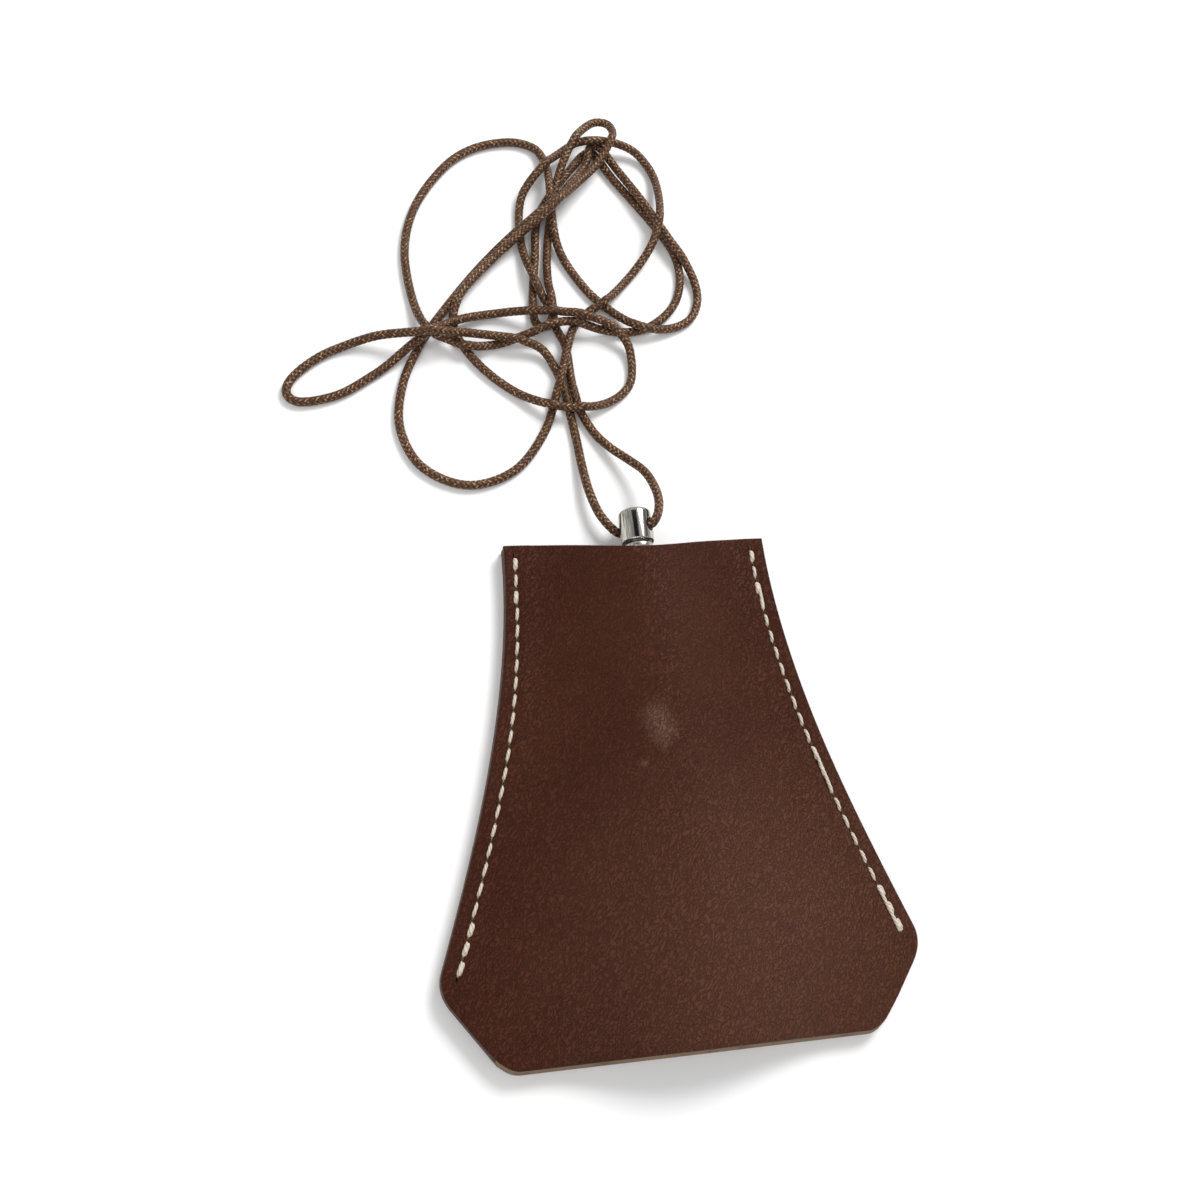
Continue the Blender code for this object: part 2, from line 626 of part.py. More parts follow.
def cord_line():
    """Centre line of the whole cord in millimetres, one row of x, y, z for each step along it."""
    lower = [(x, y, z, ROUTE[0][2]) for x, y, z in LOWER_EXIT]
    middle = [(x, y, CORD_RADIUS, layer) for x, y, layer in ROUTE]
    upper = [(x, y, z, ROUTE[-1][2]) for x, y, z in UPPER_EXIT]
    plan = evenly_spaced(smooth_curve(np.array(lower + middle + upper), 0.5), CORD_STEP)
    above, below, height = lifts(plan)
    rise_there = np.zeros(len(plan))
    for _ in range(40):
        need = np.zeros(len(plan))
        needed = plan[below, 2] + rise_there[below] + height - plan[above, 2]
        np.maximum.at(need, above, needed)
        rise_there = humped(need)
    plan[:, 2] += rise_there
    return plan[:, :3]


def bend_points(line):
    """Fewer points on the line: closer together where it bends."""
    steps = np.diff(line, axis=0)
    lengths = np.linalg.norm(steps, axis=1)
    headings = steps / lengths[:, None]
    turns = np.arccos(np.clip((headings[1:] * headings[:-1]).sum(axis=1), -1, 1))
    kept = [0]
    used = 0.0
    for i in range(1, len(line) - 1):
        used += lengths[i] / BEND_LENGTH + turns[i - 1] / BEND_TURN
        if used >= 1:
            kept.append(i)
            used = 0.0
    return line[kept + [len(line) - 1]]


def neck_cord(finish):
    points = [Vector(point) * MM for point in bend_points(cord_line())]
    return swept("neck_cord", points, CORD_RADIUS, 2, finish)


def remove_everything():
    for item in list(bpy.data.objects):
        bpy.data.objects.remove(item, do_unlink=True)


def build():
    remove_everything()
    leather = material("leather", (0.075, 0.022, 0.014), 0.5)
    thread = material("waxed_thread", (0.62, 0.52, 0.38), 0.75)
    nickel = material("nickel", (0.62, 0.6, 0.56), 0.18, 1.0)
    steel = material("spring_steel", (0.45, 0.45, 0.46), 0.3, 1.0)
    cord = material("waxed_cord", (0.06, 0.03, 0.016), 0.45)
    slots = slot_cutter("slot_guide", -1, FLANGE_TOP + 1)
    front = front_panel(leather)
    cut(front, slots)
    rear = rear_panel(leather)
    for side in (-1, 1):
        cut(rear, groove_cutter(side))
    cut(rear, slots)
    stitching(thread)
    cord_barrel(nickel)
    barrel_collar(nickel)
    swivel_stem(steel)
    hook_body(nickel)
    hook_gate(nickel)
    gate_pin(steel)
    gate_spring(steel)
    neck_cord(cord)


build()
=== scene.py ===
"""Looks of a bell-shaped leather key pouch on a waxed neck cord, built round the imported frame.

Lengths are in millimetres and turn into metres where a mesh is made. A "drop" is the distance
from the pouch's top edge towards its open mouth, and an "inset" the distance from its side edge.
"""

import math

import bmesh
import bpy
import numpy as np
from mathutils import Matrix, Vector


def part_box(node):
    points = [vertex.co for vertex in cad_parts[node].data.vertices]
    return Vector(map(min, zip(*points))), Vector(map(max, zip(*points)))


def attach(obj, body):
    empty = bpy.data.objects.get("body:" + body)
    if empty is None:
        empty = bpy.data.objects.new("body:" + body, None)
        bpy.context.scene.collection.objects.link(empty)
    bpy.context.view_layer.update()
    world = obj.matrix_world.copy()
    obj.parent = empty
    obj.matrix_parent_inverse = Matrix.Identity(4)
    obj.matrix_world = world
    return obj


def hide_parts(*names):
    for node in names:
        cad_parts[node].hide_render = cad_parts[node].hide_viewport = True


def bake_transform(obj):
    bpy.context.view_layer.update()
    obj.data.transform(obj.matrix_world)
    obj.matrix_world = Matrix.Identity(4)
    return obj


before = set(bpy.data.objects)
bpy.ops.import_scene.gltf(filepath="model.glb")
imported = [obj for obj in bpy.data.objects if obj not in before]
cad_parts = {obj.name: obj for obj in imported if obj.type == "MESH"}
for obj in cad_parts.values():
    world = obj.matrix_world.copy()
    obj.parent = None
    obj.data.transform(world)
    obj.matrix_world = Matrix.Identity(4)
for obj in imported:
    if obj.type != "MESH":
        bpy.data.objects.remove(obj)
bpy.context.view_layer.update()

MM = 0.001

# Pouch outline, as the frame has it
PANEL_LOW, PANEL_HIGH = (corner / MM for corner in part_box("front_panel"))
REAR_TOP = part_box("rear_panel")[1].z / MM
TOP_EDGE_DIP = 3.1
BODY_HEIGHT = PANEL_HIGH.y - PANEL_LOW.y
TOP_Y = PANEL_HIGH.y
TOP_WIDTH = 46.8
WIDEST = 80.0
CORNER_DROP = 72.3
BOTTOM_WIDTH = 60.6
CORNER_ROUNDING = 3.2
BOTTOM_ROUND_WIDTH = 2.2
BOTTOM_ROUND_DROP = 2.0
LEATHER = 1.6
GAP = 0.3
FLANGE = 4.7
FLANGE_BOTTOM = REAR_TOP + GAP
FLANGE_TOP = FLANGE_BOTTOM + LEATHER
CHANNEL_HEIGHT = 6.5
MOUTH_HEIGHT = 5.6
LOWERS_FROM_DROP = 50
EDGE_ROUND = 0.28
MOUTH_BEVEL = 0.5
BEVEL_LENGTH = 6
CORNER_ROWS = 6

# Marks in the front leather
RIDGE_HEIGHT = 0.12
RIDGE_WIDTH = 3.4
BULGE_X = -2.6
BULGE_DROP = 35.0
BULGE_HEIGHT = 0.5
BULGE_WIDTH = 3.0
BULGE_LENGTH = 4.0
SLACK_HEIGHT = 0.12

# A panel's finishes, in the order of its materials
TOP_SIDE, UNDERSIDE, MOUTH_EDGE, OTHER_EDGE = range(4)

# Seams
STITCH_PITCH = 3.0
SEAM_INSET = 2.6
LEFT_SEAM_DRIFT = 0.9
SEAM_START_DROP = 1.9
SEAM_END_DROP = 72.6
THREAD_RADIUS = 0.27
THREAD_PLIES = 3
THREAD_LAY = 0.85
HOLE_LENGTH = 1.3
HOLE_WIDTH = 0.36
STITCH_CROWN = 0.15
STITCH_LEAN = 0.22
SEAM_DENT = 0.15
REAR_CHANNEL = 0.68

# Barrel
BARREL_LOW, BARREL_HIGH = (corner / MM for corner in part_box("cord_barrel"))
AXIS_Z = (BARREL_LOW.z + BARREL_HIGH.z) / 2
BARREL_RADIUS = (BARREL_HIGH.z - BARREL_LOW.z) / 2
CROSS_HOLE = Vector((0, TOP_Y + 1.9, AXIS_Z))
CROSS_HOLE_TILT = math.radians(42)
CROSS_HOLE_RADIUS = 1.05
TOWARDS_MOUTH = Vector((0, -1, 0))

# Snap hook
HOOK_ROD_RADIUS = 1.3
LUG_HALF = HOOK_ROD_RADIUS + 0.1
PIN_HOLE_RADIUS = 0.58
PIVOT_X = 3.4
PIVOT_DROP = 15.0
GATE_X = 3.7
GATE_TIP_DROP = 28.4
NOSE_DROP = 29.3
BOTTOM_DROP = 32.0
BOTTOM_DEPTH = 4.2
SPINE_X = -4.0

# Cord
CORD_RADIUS = 0.8
CORD_STEP = 1.0
BRAID_COLUMNS = 8
BRAID_PITCH = 0.95
LAY_DISTANCE = 1.08 * 2 * CORD_RADIUS
LEAST_STRETCH_BETWEEN = 5.2 * CORD_RADIUS
SETTLING_ROUNDS = 40
HUMP_SLOPE = 0.3
HUMP_BLUR = 2.0


# ---------------------------------------------------------------- shared helpers


def smooth_step(value, start, end):
    t = min(max((value - start) / (end - start), 0.0), 1.0)
    return t * t * (3 - 2 * t)


def mesh_object(name, vertices, faces, *finishes):
    """Smooth-shaded mesh from points in millimetres."""
    mesh = bpy.data.meshes.new(name)
    mesh.from_pydata([tuple(Vector(v) * MM) for v in vertices], [], faces)
    mesh.polygons.foreach_set("use_smooth", [True] * len(mesh.polygons))
    made = bpy.data.objects.new(name, mesh)
    bpy.context.collection.objects.link(made)
    for finish in finishes:
        mesh.materials.append(finish)
    return made


def outward(made):
    """Turns every face of a closed mesh outwards."""
    shape = bmesh.new()
    shape.from_mesh(made.data)
    bmesh.ops.recalc_face_normals(shape, faces=shape.faces)
    shape.to_mesh(made.data)
    shape.free()
    return made


def hollow_out(target, cutter):
    """Cuts one solid out of another."""
    modifier = target.modifiers.new(cutter.name, "BOOLEAN")
    modifier.operation = "DIFFERENCE"
    modifier.solver = "EXACT"
    modifier.object = cutter
    bpy.context.view_layer.objects.active = target
    bpy.ops.object.modifier_apply(modifier=modifier.name)
    bpy.data.objects.remove(cutter, do_unlink=True)


def joined(name, parts):
    """Several meshes made into one."""
    bpy.ops.object.select_all(action="DESELECT")
    for part in parts:
        part.select_set(True)
    bpy.context.view_layer.objects.active = parts[0]
    bpy.ops.object.join()
    parts[0].name = name
    return parts[0]


def crisp_edges(made, degrees=35):
    """Keeps hard edges crisp on a turned or cast metal part."""
    made.data.set_sharp_from_angle(angle=math.radians(degrees))


def turned(name, profile, centre, direction, segments, *finishes):
    """Solid of revolution: profile lists (distance along the axis, radius) from end to end. One
    that doesn't start on the axis goes round a ring's section."""
    vertices = []
    rings = []
    is_ring = profile[0][1] > 0
    for along, radius in profile:
        count = segments if radius > 0 else 1
        rings.append([len(vertices) + step for step in range(count)])
        for step in range(count):
            angle = 2 * math.pi * step / segments
            vertices.append(Vector((radius * math.cos(angle), radius * math.sin(angle), along)))
    faces = []
    pairs = list(zip(rings, rings[1:]))
    if is_ring:
        pairs.append((rings[-1], rings[0]))
    for near, far in pairs:
        for step in range(segments):
            following = (step + 1) % segments
            corners = [near[step % len(near)], near[following % len(near)]]
            corners += [far[following % len(far)], far[step % len(far)]]
            faces.append(list(dict.fromkeys(corners)))
    turn = Vector((0, 0, 1)).rotation_difference(direction).to_matrix()
    placed = [turn @ vertex + centre for vertex in vertices]
    return outward(mesh_object(name, placed, faces, *finishes))


def round_corner(start, corner, end, steps=6):
    """Profile points round a corner, from one point on its first side to one on its second."""
    points = []
    for step in range(steps + 1):
        t = step / steps
        first = Vector(start).lerp(Vector(corner), t)
        second = Vector(corner).lerp(Vector(end), t)
        points.append(tuple(first.lerp(second, t)))
    return points


# ---------------------------------------------------------------- smooth curves and tubes


def mix(first, second, first_knot, second_knot, knot):
    weight = (knot - first_knot) / (second_knot - first_knot)
    return first * (1 - weight) + second * weight


def smooth_curve(rows, step, axes=2):
    """Rows on a centripetal Catmull-Rom curve through the given rows. The axes are how many of a
    row's values are its place."""
    rows = np.vstack([2 * rows[0] - rows[1], rows, 2 * rows[-1] - rows[-2]])
    gaps = np.linalg.norm(np.diff(rows[:, :axes], axis=0), axis=1)
    knots = np.concatenate([[0], np.cumsum(np.sqrt(gaps))])
    fine = []
    for i in range(1, len(rows) - 2):
        p = rows[i - 1 : i + 3]
        k = knots[i - 1 : i + 3]
        count = max(int(gaps[i] / step), 1)
        for t in np.linspace(k[1], k[2], count, endpoint=False):
            edges = [mix(p[j], p[j + 1], k[j], k[j + 1], t) for j in range(3)]
            halves = [mix(edges[j], edges[j + 1], k[j], k[j + 2], t) for j in range(2)]
            fine.append(mix(halves[0], halves[1], k[1], k[2], t))
    fine.append(rows[-2])
    return np.array(fine)


def evenly_spaced(rows, step):
    lengths = np.linalg.norm(np.diff(rows[:, :2], axis=0), axis=1)
    along = np.concatenate([[0], np.cumsum(lengths)])
    marks = np.linspace(0, along[-1], int(along[-1] / step) + 1)
    return np.column_stack([np.interp(marks, along, column) for column in rows.T])


def line_frames(line):
    """Two directions across the line at every point, carried along it without twist."""
    headings = np.gradient(line, axis=0)
    headings /= np.linalg.norm(headings, axis=1)[:, None]
    first = np.cross(headings[0], (0.0, 0.0, 1.0))
    if np.linalg.norm(first) < 0.1:
        first = np.cross(headings[0], (1.0, 0.0, 0.0))
    sideways = []
    for heading in headings:
        first = first - heading * first.dot(heading)
        first = first / np.linalg.norm(first)
        sideways.append(first)
    sideways = np.array(sideways)
    return sideways, np.cross(headings, sideways)


def tube(name, line, radius, relief, sides, *finishes):
    """Round bar along a line. relief(around, along) is how far its skin stands out: around is a
    share of a turn, along a length. Both are kept as UV coordinates."""
    sideways, upwards = line_frames(line)
    lengths = np.linalg.norm(np.diff(line, axis=0), axis=1)
    along = np.concatenate([[0], np.cumsum(lengths)])
    around = np.arange(sides) / sides
    skin = radius + relief(around[None, :], along[:, None])
    angles = 2 * math.pi * around
    spokes = sideways[:, None] * np.cos(angles)[None, :, None]
    spokes = spokes + upwards[:, None] * np.sin(angles)[None, :, None]
    rings = line[:, None] + spokes * skin[..., None]
    vertices = rings.reshape(-1, 3)
    faces = []
    places = []
    for ring in range(len(line) - 1):
        for side in range(sides):
            following = (side + 1) % sides
            near = ring * sides
            far = near + sides
            faces.append((near + side, near + following, far + following, far + side))
            left = side / sides
            right = (side + 1) / sides
            places += [(left, along[ring]), (right, along[ring])]
            places += [(right, along[ring + 1]), (left, along[ring + 1])]
    faces.append(tuple(range(sides))[::-1])
    faces.append(tuple(range(len(vertices) - sides, len(vertices))))
    places += [(0.0, 0.0)] * (2 * sides)
    made = mesh_object(name, vertices, faces, *finishes)
    layer = made.data.uv_layers.new(name="around_and_along")
    layer.data.foreach_set("uv", np.array(places, np.float32).ravel())
    return made


# ---------------------------------------------------------------- neck cord

# Rows are x, y and height, from the lower hole mouth down to the ground.
LOWER_EXIT = [
    (-2.38, 42.2, 2.71), (-3.1, 42.5, 2.75), (-3.9, 43.3, 2.75), (-5.0, 44.8, 2.75),
    (-5.9, 46.5, 2.7), (-6.9, 50.1, 2.4), (-7.3, 53.1, 1.9), (-7.6, 57.1, 1.3),
]

# Rows are x, y and layer: where two stretches meet, the one on the higher layer lies on top.
ROUTE = [
    (-7.8, 61.1, 1), (-8.4, 66.6, 1), (-9.1, 72.1, 1), (-10.9, 77.2, 4), (-12.7, 79.5, 7),
    (-18.8, 81.2, 9), (-23.3, 81.8, 9), (-33.8, 81.2, 9), (-43.6, 81.4, 9), (-52, 78.6, 9),
    (-58, 73.3, 9), (-58.5, 70.9, 9), (-57, 69.5, 9), (-50.2, 70.5, 9), (-43, 74.8, 8),
    (-34.5, 81, 8), (-22.4, 86.8, 8), (-8.6, 86, 8), (-0.4, 84.4, 8), (2.4, 82.5, 7),
    (4.1, 79.8, 6), (3.4, 72.5, 5), (-3.3, 67.8, 5), (-12, 67.8, 5), (-23.3, 75.6, 2),
    (-28.2, 84.1, 2), (-27.4, 89.3, 3), (-20.3, 98, 8), (-16, 101.9, 8), (-8.2, 107.9, 8),
    (0.1, 117.2, 8), (2.9, 120.5, 8), (5.7, 126, 8), (4.9, 128.4, 8), (2.7, 128.9, 8),
    (-0.5, 126.3, 8), (-5.1, 118.5, 8), (-8.4, 106.1, 3), (-10, 94, 3), (-10.1, 85.6, 2),
    (-11.5, 84, 2), (-12.9, 85, 2), (-13.2, 88.6, 3), (-11.8, 99.1, 3), (-10.2, 108.7, 3),
    (-2.4, 120.2, 4), (0.3, 123.3, 4), (1.9, 123.9, 4), (3, 122.4, 4), (5.1, 118.6, 2),
    (16, 100, 3), (14.7, 90.4, 3), (7.9, 84.4, 3), (-0.4, 83.6, 4), (-7.4, 84.6, 7),
    (-14.8, 82.4, 7), (-26.4, 79.8, 7), (-29.6, 81.3, 7), (-32.2, 82.5, 6), (-34.1, 85.1, 4),
    (-36.2, 99.6, 4), (-33.8, 109.8, 4), (-27.2, 119.6, 4), (-22.5, 123.3, 4), (-17.3, 125.2, 4),
    (-12.5, 125.5, 4), (-9.2, 124, 4), (-7.9, 120.1, 4), (-8, 110.4, 4), (-7.3, 102, 4),
    (-3, 93.3, 4), (0.3, 89.4, 4), (7.4, 83.8, 4), (16.3, 85.9, 4), (18.9, 89.9, 4),
    (19, 94.5, 4), (14.8, 103, 4), (6.6, 118.7, 2), (3.1, 124.2, 4), (1.5, 124.2, 4),
    (0.3, 120.6, 5), (-3.3, 115.4, 5), (-7.3, 109.9, 7), (-11.1, 107.2, 7), (-19.3, 100.6, 7),
    (-30.3, 87.3, 6), (-34.8, 80.5, 3), (-38.3, 72.6, 3), (-39.3, 64.1, 3), (-36.1, 56.7, 3),
    (-28.4, 52.9, 3), (-20, 55.3, 3), (-13.6, 62.9, 3), (-10.3, 71.5, 6), (-5.9, 84.4, 6),
    (-3.3, 87.2, 5), (0, 89.1, 5), (4.7, 93.9, 5), (11.4, 102.6, 5), (13.9, 113.8, 5),
    (13.4, 120, 5), (10.5, 123.7, 5), (6.2, 124.7, 5), (1.7, 124.2, 5), (-2.2, 123.8, 5),
    (-12.1, 114.5, 5), (-13.6, 111.1, 5), (-14.1, 102.6, 5), (-12.3, 92.9, 5), (-9.5, 87.1, 1),
    (-9.2, 84.4, 1), (-7.9, 80.9, 1), (-7.1, 69.2, 1), (-4.5, 63, 1),
]

# Rows are x, y and height, from the ground up and over to the upper hole mouth.
UPPER_EXIT = [
    (-2.1, 59.6, 1.5), (0.8, 56.4, 2.8), (3.0, 53.5, 4.2), (4.0, 50, 5.7), (4.2, 46.7, 6.8),
    (3.8, 44.6, 7.2), (3.1, 43, 7.35), (2.38, 42.2, 6.99),
]


def contacts(close):
    """Pairs of points that are close together, gathered into one group for each contact."""
    waiting = {tuple(pair) for pair in np.argwhere(np.triu(close)).tolist()}
    nearby = [(a, b) for a in range(-2, 3) for b in range(-2, 3)]
    groups = []
    while waiting:
        group = [waiting.pop()]
        for i, j in group:
            found = {(i + a, j + b) for a, b in nearby} & waiting
            waiting -= found
            group.extend(sorted(found))
        groups.append(np.array(group))
    return groups


def lifts(plan):
    """For each pair of touching points: the upper point, the lower point and the height between."""
    spread = np.linalg.norm(plan[:, None, :2] - plan[None, :, :2], axis=2)
    index = np.arange(len(plan))
    apart = np.abs(index[:, None] - index[None, :]) * CORD_STEP > LEAST_STRETCH_BETWEEN
    layer = plan[:, 3]
    found = []
    for group in contacts((spread < LAY_DISTANCE) & apart):
        distance = spread[group[:, 0], group[:, 1]]
        first, second = group[distance.argmin()]
        if layer[first] <= layer[second]:
            group = group[:, ::-1]
        height = np.sqrt(LAY_DISTANCE**2 - distance**2)
        found.append(np.column_stack([group, height]))
    found = np.vstack(found)
    return found[:, 0].astype(int), found[:, 1].astype(int), found[:, 2]


def humped(need):
    """Long low humps that reach the needed rise everywhere."""
    slope = need.copy()
    for i in range(1, len(slope)):
        slope[i] = max(slope[i], slope[i - 1] - HUMP_SLOPE * CORD_STEP)
    for i in range(len(slope) - 2, -1, -1):
        slope[i] = max(slope[i], slope[i + 1] - HUMP_SLOPE * CORD_STEP)
    reach = int(3 * HUMP_BLUR / CORD_STEP)
    bell = np.exp(-0.5 * (np.arange(-reach, reach + 1) * CORD_STEP / HUMP_BLUR) ** 2)
    smooth = np.convolve(np.pad(slope, reach, mode="edge"), bell / bell.sum(), "valid")
    return np.maximum(smooth, need)


def cord_line():
    """Centre line of the whole cord in millimetres, one row of x, y, z for each step along it."""
    lower = [(x, y, z, ROUTE[0][2]) for x, y, z in LOWER_EXIT]
    middle = [(x, y, CORD_RADIUS, layer) for x, y, layer in ROUTE]
    upper = [(x, y, z, ROUTE[-1][2]) for x, y, z in UPPER_EXIT]
    plan = evenly_spaced(smooth_curve(np.array(lower + middle + upper), 0.5), CORD_STEP)
    above, below, height = lifts(plan)
    rise_there = np.zeros(len(plan))
    for _ in range(SETTLING_ROUNDS):
        need = np.zeros(len(plan))
        needed = plan[below, 2] + rise_there[below] + height - plan[above, 2]
        np.maximum.at(need, above, needed)
        rise_there = humped(need)
    plan[:, 2] += rise_there
    return plan[:, :3]


def cord_in_barrel(line):
    """The cord's line with both ends carried on into the cross hole."""
    across = np.array([math.cos(CROSS_HOLE_TILT), 0.0, math.sin(CROSS_HOLE_TILT)])
    reaches = np.array([[0.15], [1.2], [2.2]])  # from the hole's middle
    lower = np.array(CROSS_HOLE) - across * reaches
    upper = np.array(CROSS_HOLE) + across * reaches[::-1]
    return np.vstack([lower, line, upper])


def braid(around, along):
    """Relief of a round braid: ridges that slope one way and the other in turn."""
    share = around * BRAID_COLUMNS
    column = np.floor(share)
    within = share - column
    slope = np.where(column % 2 == 0, 1.0, -1.0)
    strand = np.sin(math.pi * (along / BRAID_PITCH + slope * within * 0.5)) ** 2
    return 0.05 * strand * np.sin(math.pi * within) ** 0.5 - 0.03


def neck_cord(finish):
    line = cord_in_barrel(cord_line())
    fine = smooth_curve(line, 0.25, 3)
    cord = tube("neck_cord_braid", fine, CORD_RADIUS, braid, 24, finish)
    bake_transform(cord)
    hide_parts("neck_cord")


# ---------------------------------------------------------------- pouch outline


def flared_side(drop):
    """Half the width of the bell at a drop, without its cut corners."""
    t = drop / CORNER_DROP
    flare = 1.4 * t**2 - 0.4 * t**3
    return (TOP_WIDTH + (WIDEST - TOP_WIDTH) * flare) / 2


def half_width(drop):
    """Half the width of the bell at a drop: flared side, cut corner, rounded bottom corner."""
    side = flared_side(drop)
    slope = (WIDEST - BOTTOM_WIDTH) / 2 / (BODY_HEIGHT - CORNER_DROP)
    chamfer = WIDEST / 2 - slope * (drop - CORNER_DROP)
    near = max(CORNER_ROUNDING - abs(side - chamfer), 0.0)
    width = min(side, chamfer) - near**2 / (4 * CORNER_ROUNDING)
    into_round = max(drop - (BODY_HEIGHT - BOTTOM_ROUND_DROP), 0.0) / BOTTOM_ROUND_DROP
    return width - BOTTOM_ROUND_WIDTH * (1 - math.sqrt(max(1 - into_round**2, 0.0)))


def dipped(share, drop):
    """The curved cut of the top edge: it dips over the barrel."""
    return drop + TOP_EDGE_DIP * (1 - share**2) ** 4 * (1 - smooth_step(drop, 0, 24))


def rise(x, drop):
    """Height of the front panel's arch above its stitched flanges."""
    base = half_width(drop) - FLANGE
    if abs(x) >= base:
        return 0.0
    lowered = (CHANNEL_HEIGHT - MOUTH_HEIGHT) * smooth_step(drop, LOWERS_FROM_DROP, BODY_HEIGHT)
    return (CHANNEL_HEIGHT - lowered - GAP) * math.cos(math.pi * x / (2 * base)) ** 2


# ---------------------------------------------------------------- leather panels


def seam_x(side, drop):
    """The seams follow the flared sides. The left one starts nearer the edge."""
    drift = LEFT_SEAM_DRIFT * (1 - smooth_step(drop, 0, 40)) if side < 0 else 0.0
    return side * (flared_side(drop) - SEAM_INSET + drift)


def seam_groove(x, drop, half_width_of_groove):
    """1 on a seam's line, falling to 0 beside it and beyond its ends."""
    aside = (x - seam_x(math.copysign(1, x), drop)) / half_width_of_groove
    start = smooth_step(drop, SEAM_START_DROP - 1.6, SEAM_START_DROP - 0.4)
    end = 1 - smooth_step(drop, SEAM_END_DROP + 0.4, SEAM_END_DROP + 1.8)
    return start * end * math.exp(-(aside**4))


def hook_marks(x, drop):
    """A ridge down the arch's crown, and the soft bump that the hook has pressed into it."""
    ridge = math.exp(-((x / RIDGE_WIDTH) ** 2))
    ridge *= smooth_step(drop, 0, 6) * (1 - smooth_step(drop, 22, 42))
    aside = (x - BULGE_X) / BULGE_WIDTH
    ahead = (drop - BULGE_DROP) / BULGE_LENGTH
    return RIDGE_HEIGHT * ridge + BULGE_HEIGHT * math.exp(-(aside**2) - ahead**2)


def slack(x, drop):
    """Slow waves in the soft leather."""
    wave = math.sin(0.11 * x + 0.045 * drop + 0.6) * math.sin(0.07 * drop - 0.05 * x)
    return SLACK_HEIGHT * wave * smooth_step(drop, 4, 16)


def front_top(x, drop):
    shape = rise(x, drop) + hook_marks(x, drop) + slack(x, drop)
    return FLANGE_TOP + shape - SEAM_DENT * seam_groove(x, drop, 0.9)


def front_underside(x, drop):
    return FLANGE_BOTTOM + rise(x, drop)


def rear_top(x, drop):
    return REAR_TOP


def rear_underside(x, drop):
    """Flat on the ground but for a channel that keeps the thread clear of it."""
    return REAR_CHANNEL * seam_groove(x, drop, 0.8)


def panel_points(top, underside, bevel):
    """The points of a panel's top and underside, row by row, and how many columns they have.
    The bevel is how far the top falls short of the underside at the mouth."""
    edge_steps = [0, 0.05, 0.15, EDGE_ROUND, 0.6]
    rows = edge_steps + list(np.arange(1.2, BODY_HEIGHT - 1.0, 0.6))
    rows += [BODY_HEIGHT - step for step in edge_steps[::-1]]
    insets = edge_steps + list(np.arange(0.9, 6.1, 0.3))
    middle = np.linspace(-1, 1, 49)[1:-1]
    tops = []
    undersides = []
    for drop in rows:
        edge = half_width(drop)
        places = [-edge + inset for inset in insets]
        places += list(middle * (edge - insets[-1]))
        places += [edge - inset for inset in insets[::-1]]
        for x in places:
            inset = edge - abs(x)
            into_edge = max(EDGE_ROUND - min(inset, drop, BODY_HEIGHT - drop), 0.0)
            rounding = EDGE_ROUND - math.sqrt(EDGE_ROUND**2 - into_edge**2)
            y = TOP_Y - dipped(x / edge, drop)
            short = bevel * smooth_step(drop, BODY_HEIGHT - BEVEL_LENGTH, BODY_HEIGHT)
            tops.append((x, y + short, top(x, drop) - rounding))
            undersides.append((x, y, underside(x, drop) + rounding))
    return tops, undersides, 2 * len(insets) + len(middle)


def panel(name, tops, undersides, columns, *finishes):
    """Leather sheet between two grids. The finishes are for its top, its underside, its mouth edge
    with the nearest rows of the sides, and its other edges."""
    rows = len(tops) // columns
    vertices = tops + undersides
    faces = []
    indices = []
    for start, side in ((0, TOP_SIDE), (len(tops), UNDERSIDE)):
        for row in range(rows - 1):
            for column in range(columns - 1):
                corner = start + row * columns + column
                faces.append((corner, corner + 1, corner + 1 + columns, corner + columns))
                indices.append(side)
    rim = list(range(columns))
    rim += [row * columns + columns - 1 for row in range(1, rows - 1)]
    rim += list(range(rows * columns - 1, (rows - 1) * columns - 1, -1))
    rim += [row * columns for row in range(rows - 2, 0, -1)]
    first_middle = len(vertices)
    for share in (1 / 3, 2 / 3):
        vertices = vertices + [Vector(tops[i]).lerp(Vector(undersides[i]), share) for i in rim]
    bands = [rim]
    bands.append(list(range(first_middle, first_middle + len(rim))))
    bands.append(list(range(first_middle + len(rim), first_middle + 2 * len(rim))))
    bands.append([corner + len(tops) for corner in rim])
    mouth = range(columns + rows - 2 - CORNER_ROWS, 2 * columns + rows - 3 + CORNER_ROWS)
    for upper, lower in zip(bands, bands[1:]):
        for index in range(len(rim)):
            following = (index + 1) % len(rim)
            faces.append((upper[index], upper[following], lower[following], lower[index]))
            indices.append(MOUTH_EDGE if index in mouth else OTHER_EDGE)
    made = mesh_object(name, vertices, faces, *finishes)
    made.data.polygons.foreach_set("material_index", indices)
    return outward(made)


# ---------------------------------------------------------------- stitched seams


def seam_line(side):
    """Stitch holes along one seam, from top to bottom."""
    drops = np.linspace(SEAM_START_DROP, SEAM_END_DROP, 400)
    places = [Vector((seam_x(side, drop), TOP_Y - drop)) for drop in drops]
    holes = [places[0]]
    for place in places:
        if (place - holes[-1]).length >= STITCH_PITCH:
            holes.append(place)
    return holes


def seam_directions(holes):
    directions = []
    for index in range(len(holes)):
        before = holes[max(index - 1, 0)]
        after = holes[min(index + 1, len(holes) - 1)]
        directions.append((after - before).normalized())
    return directions


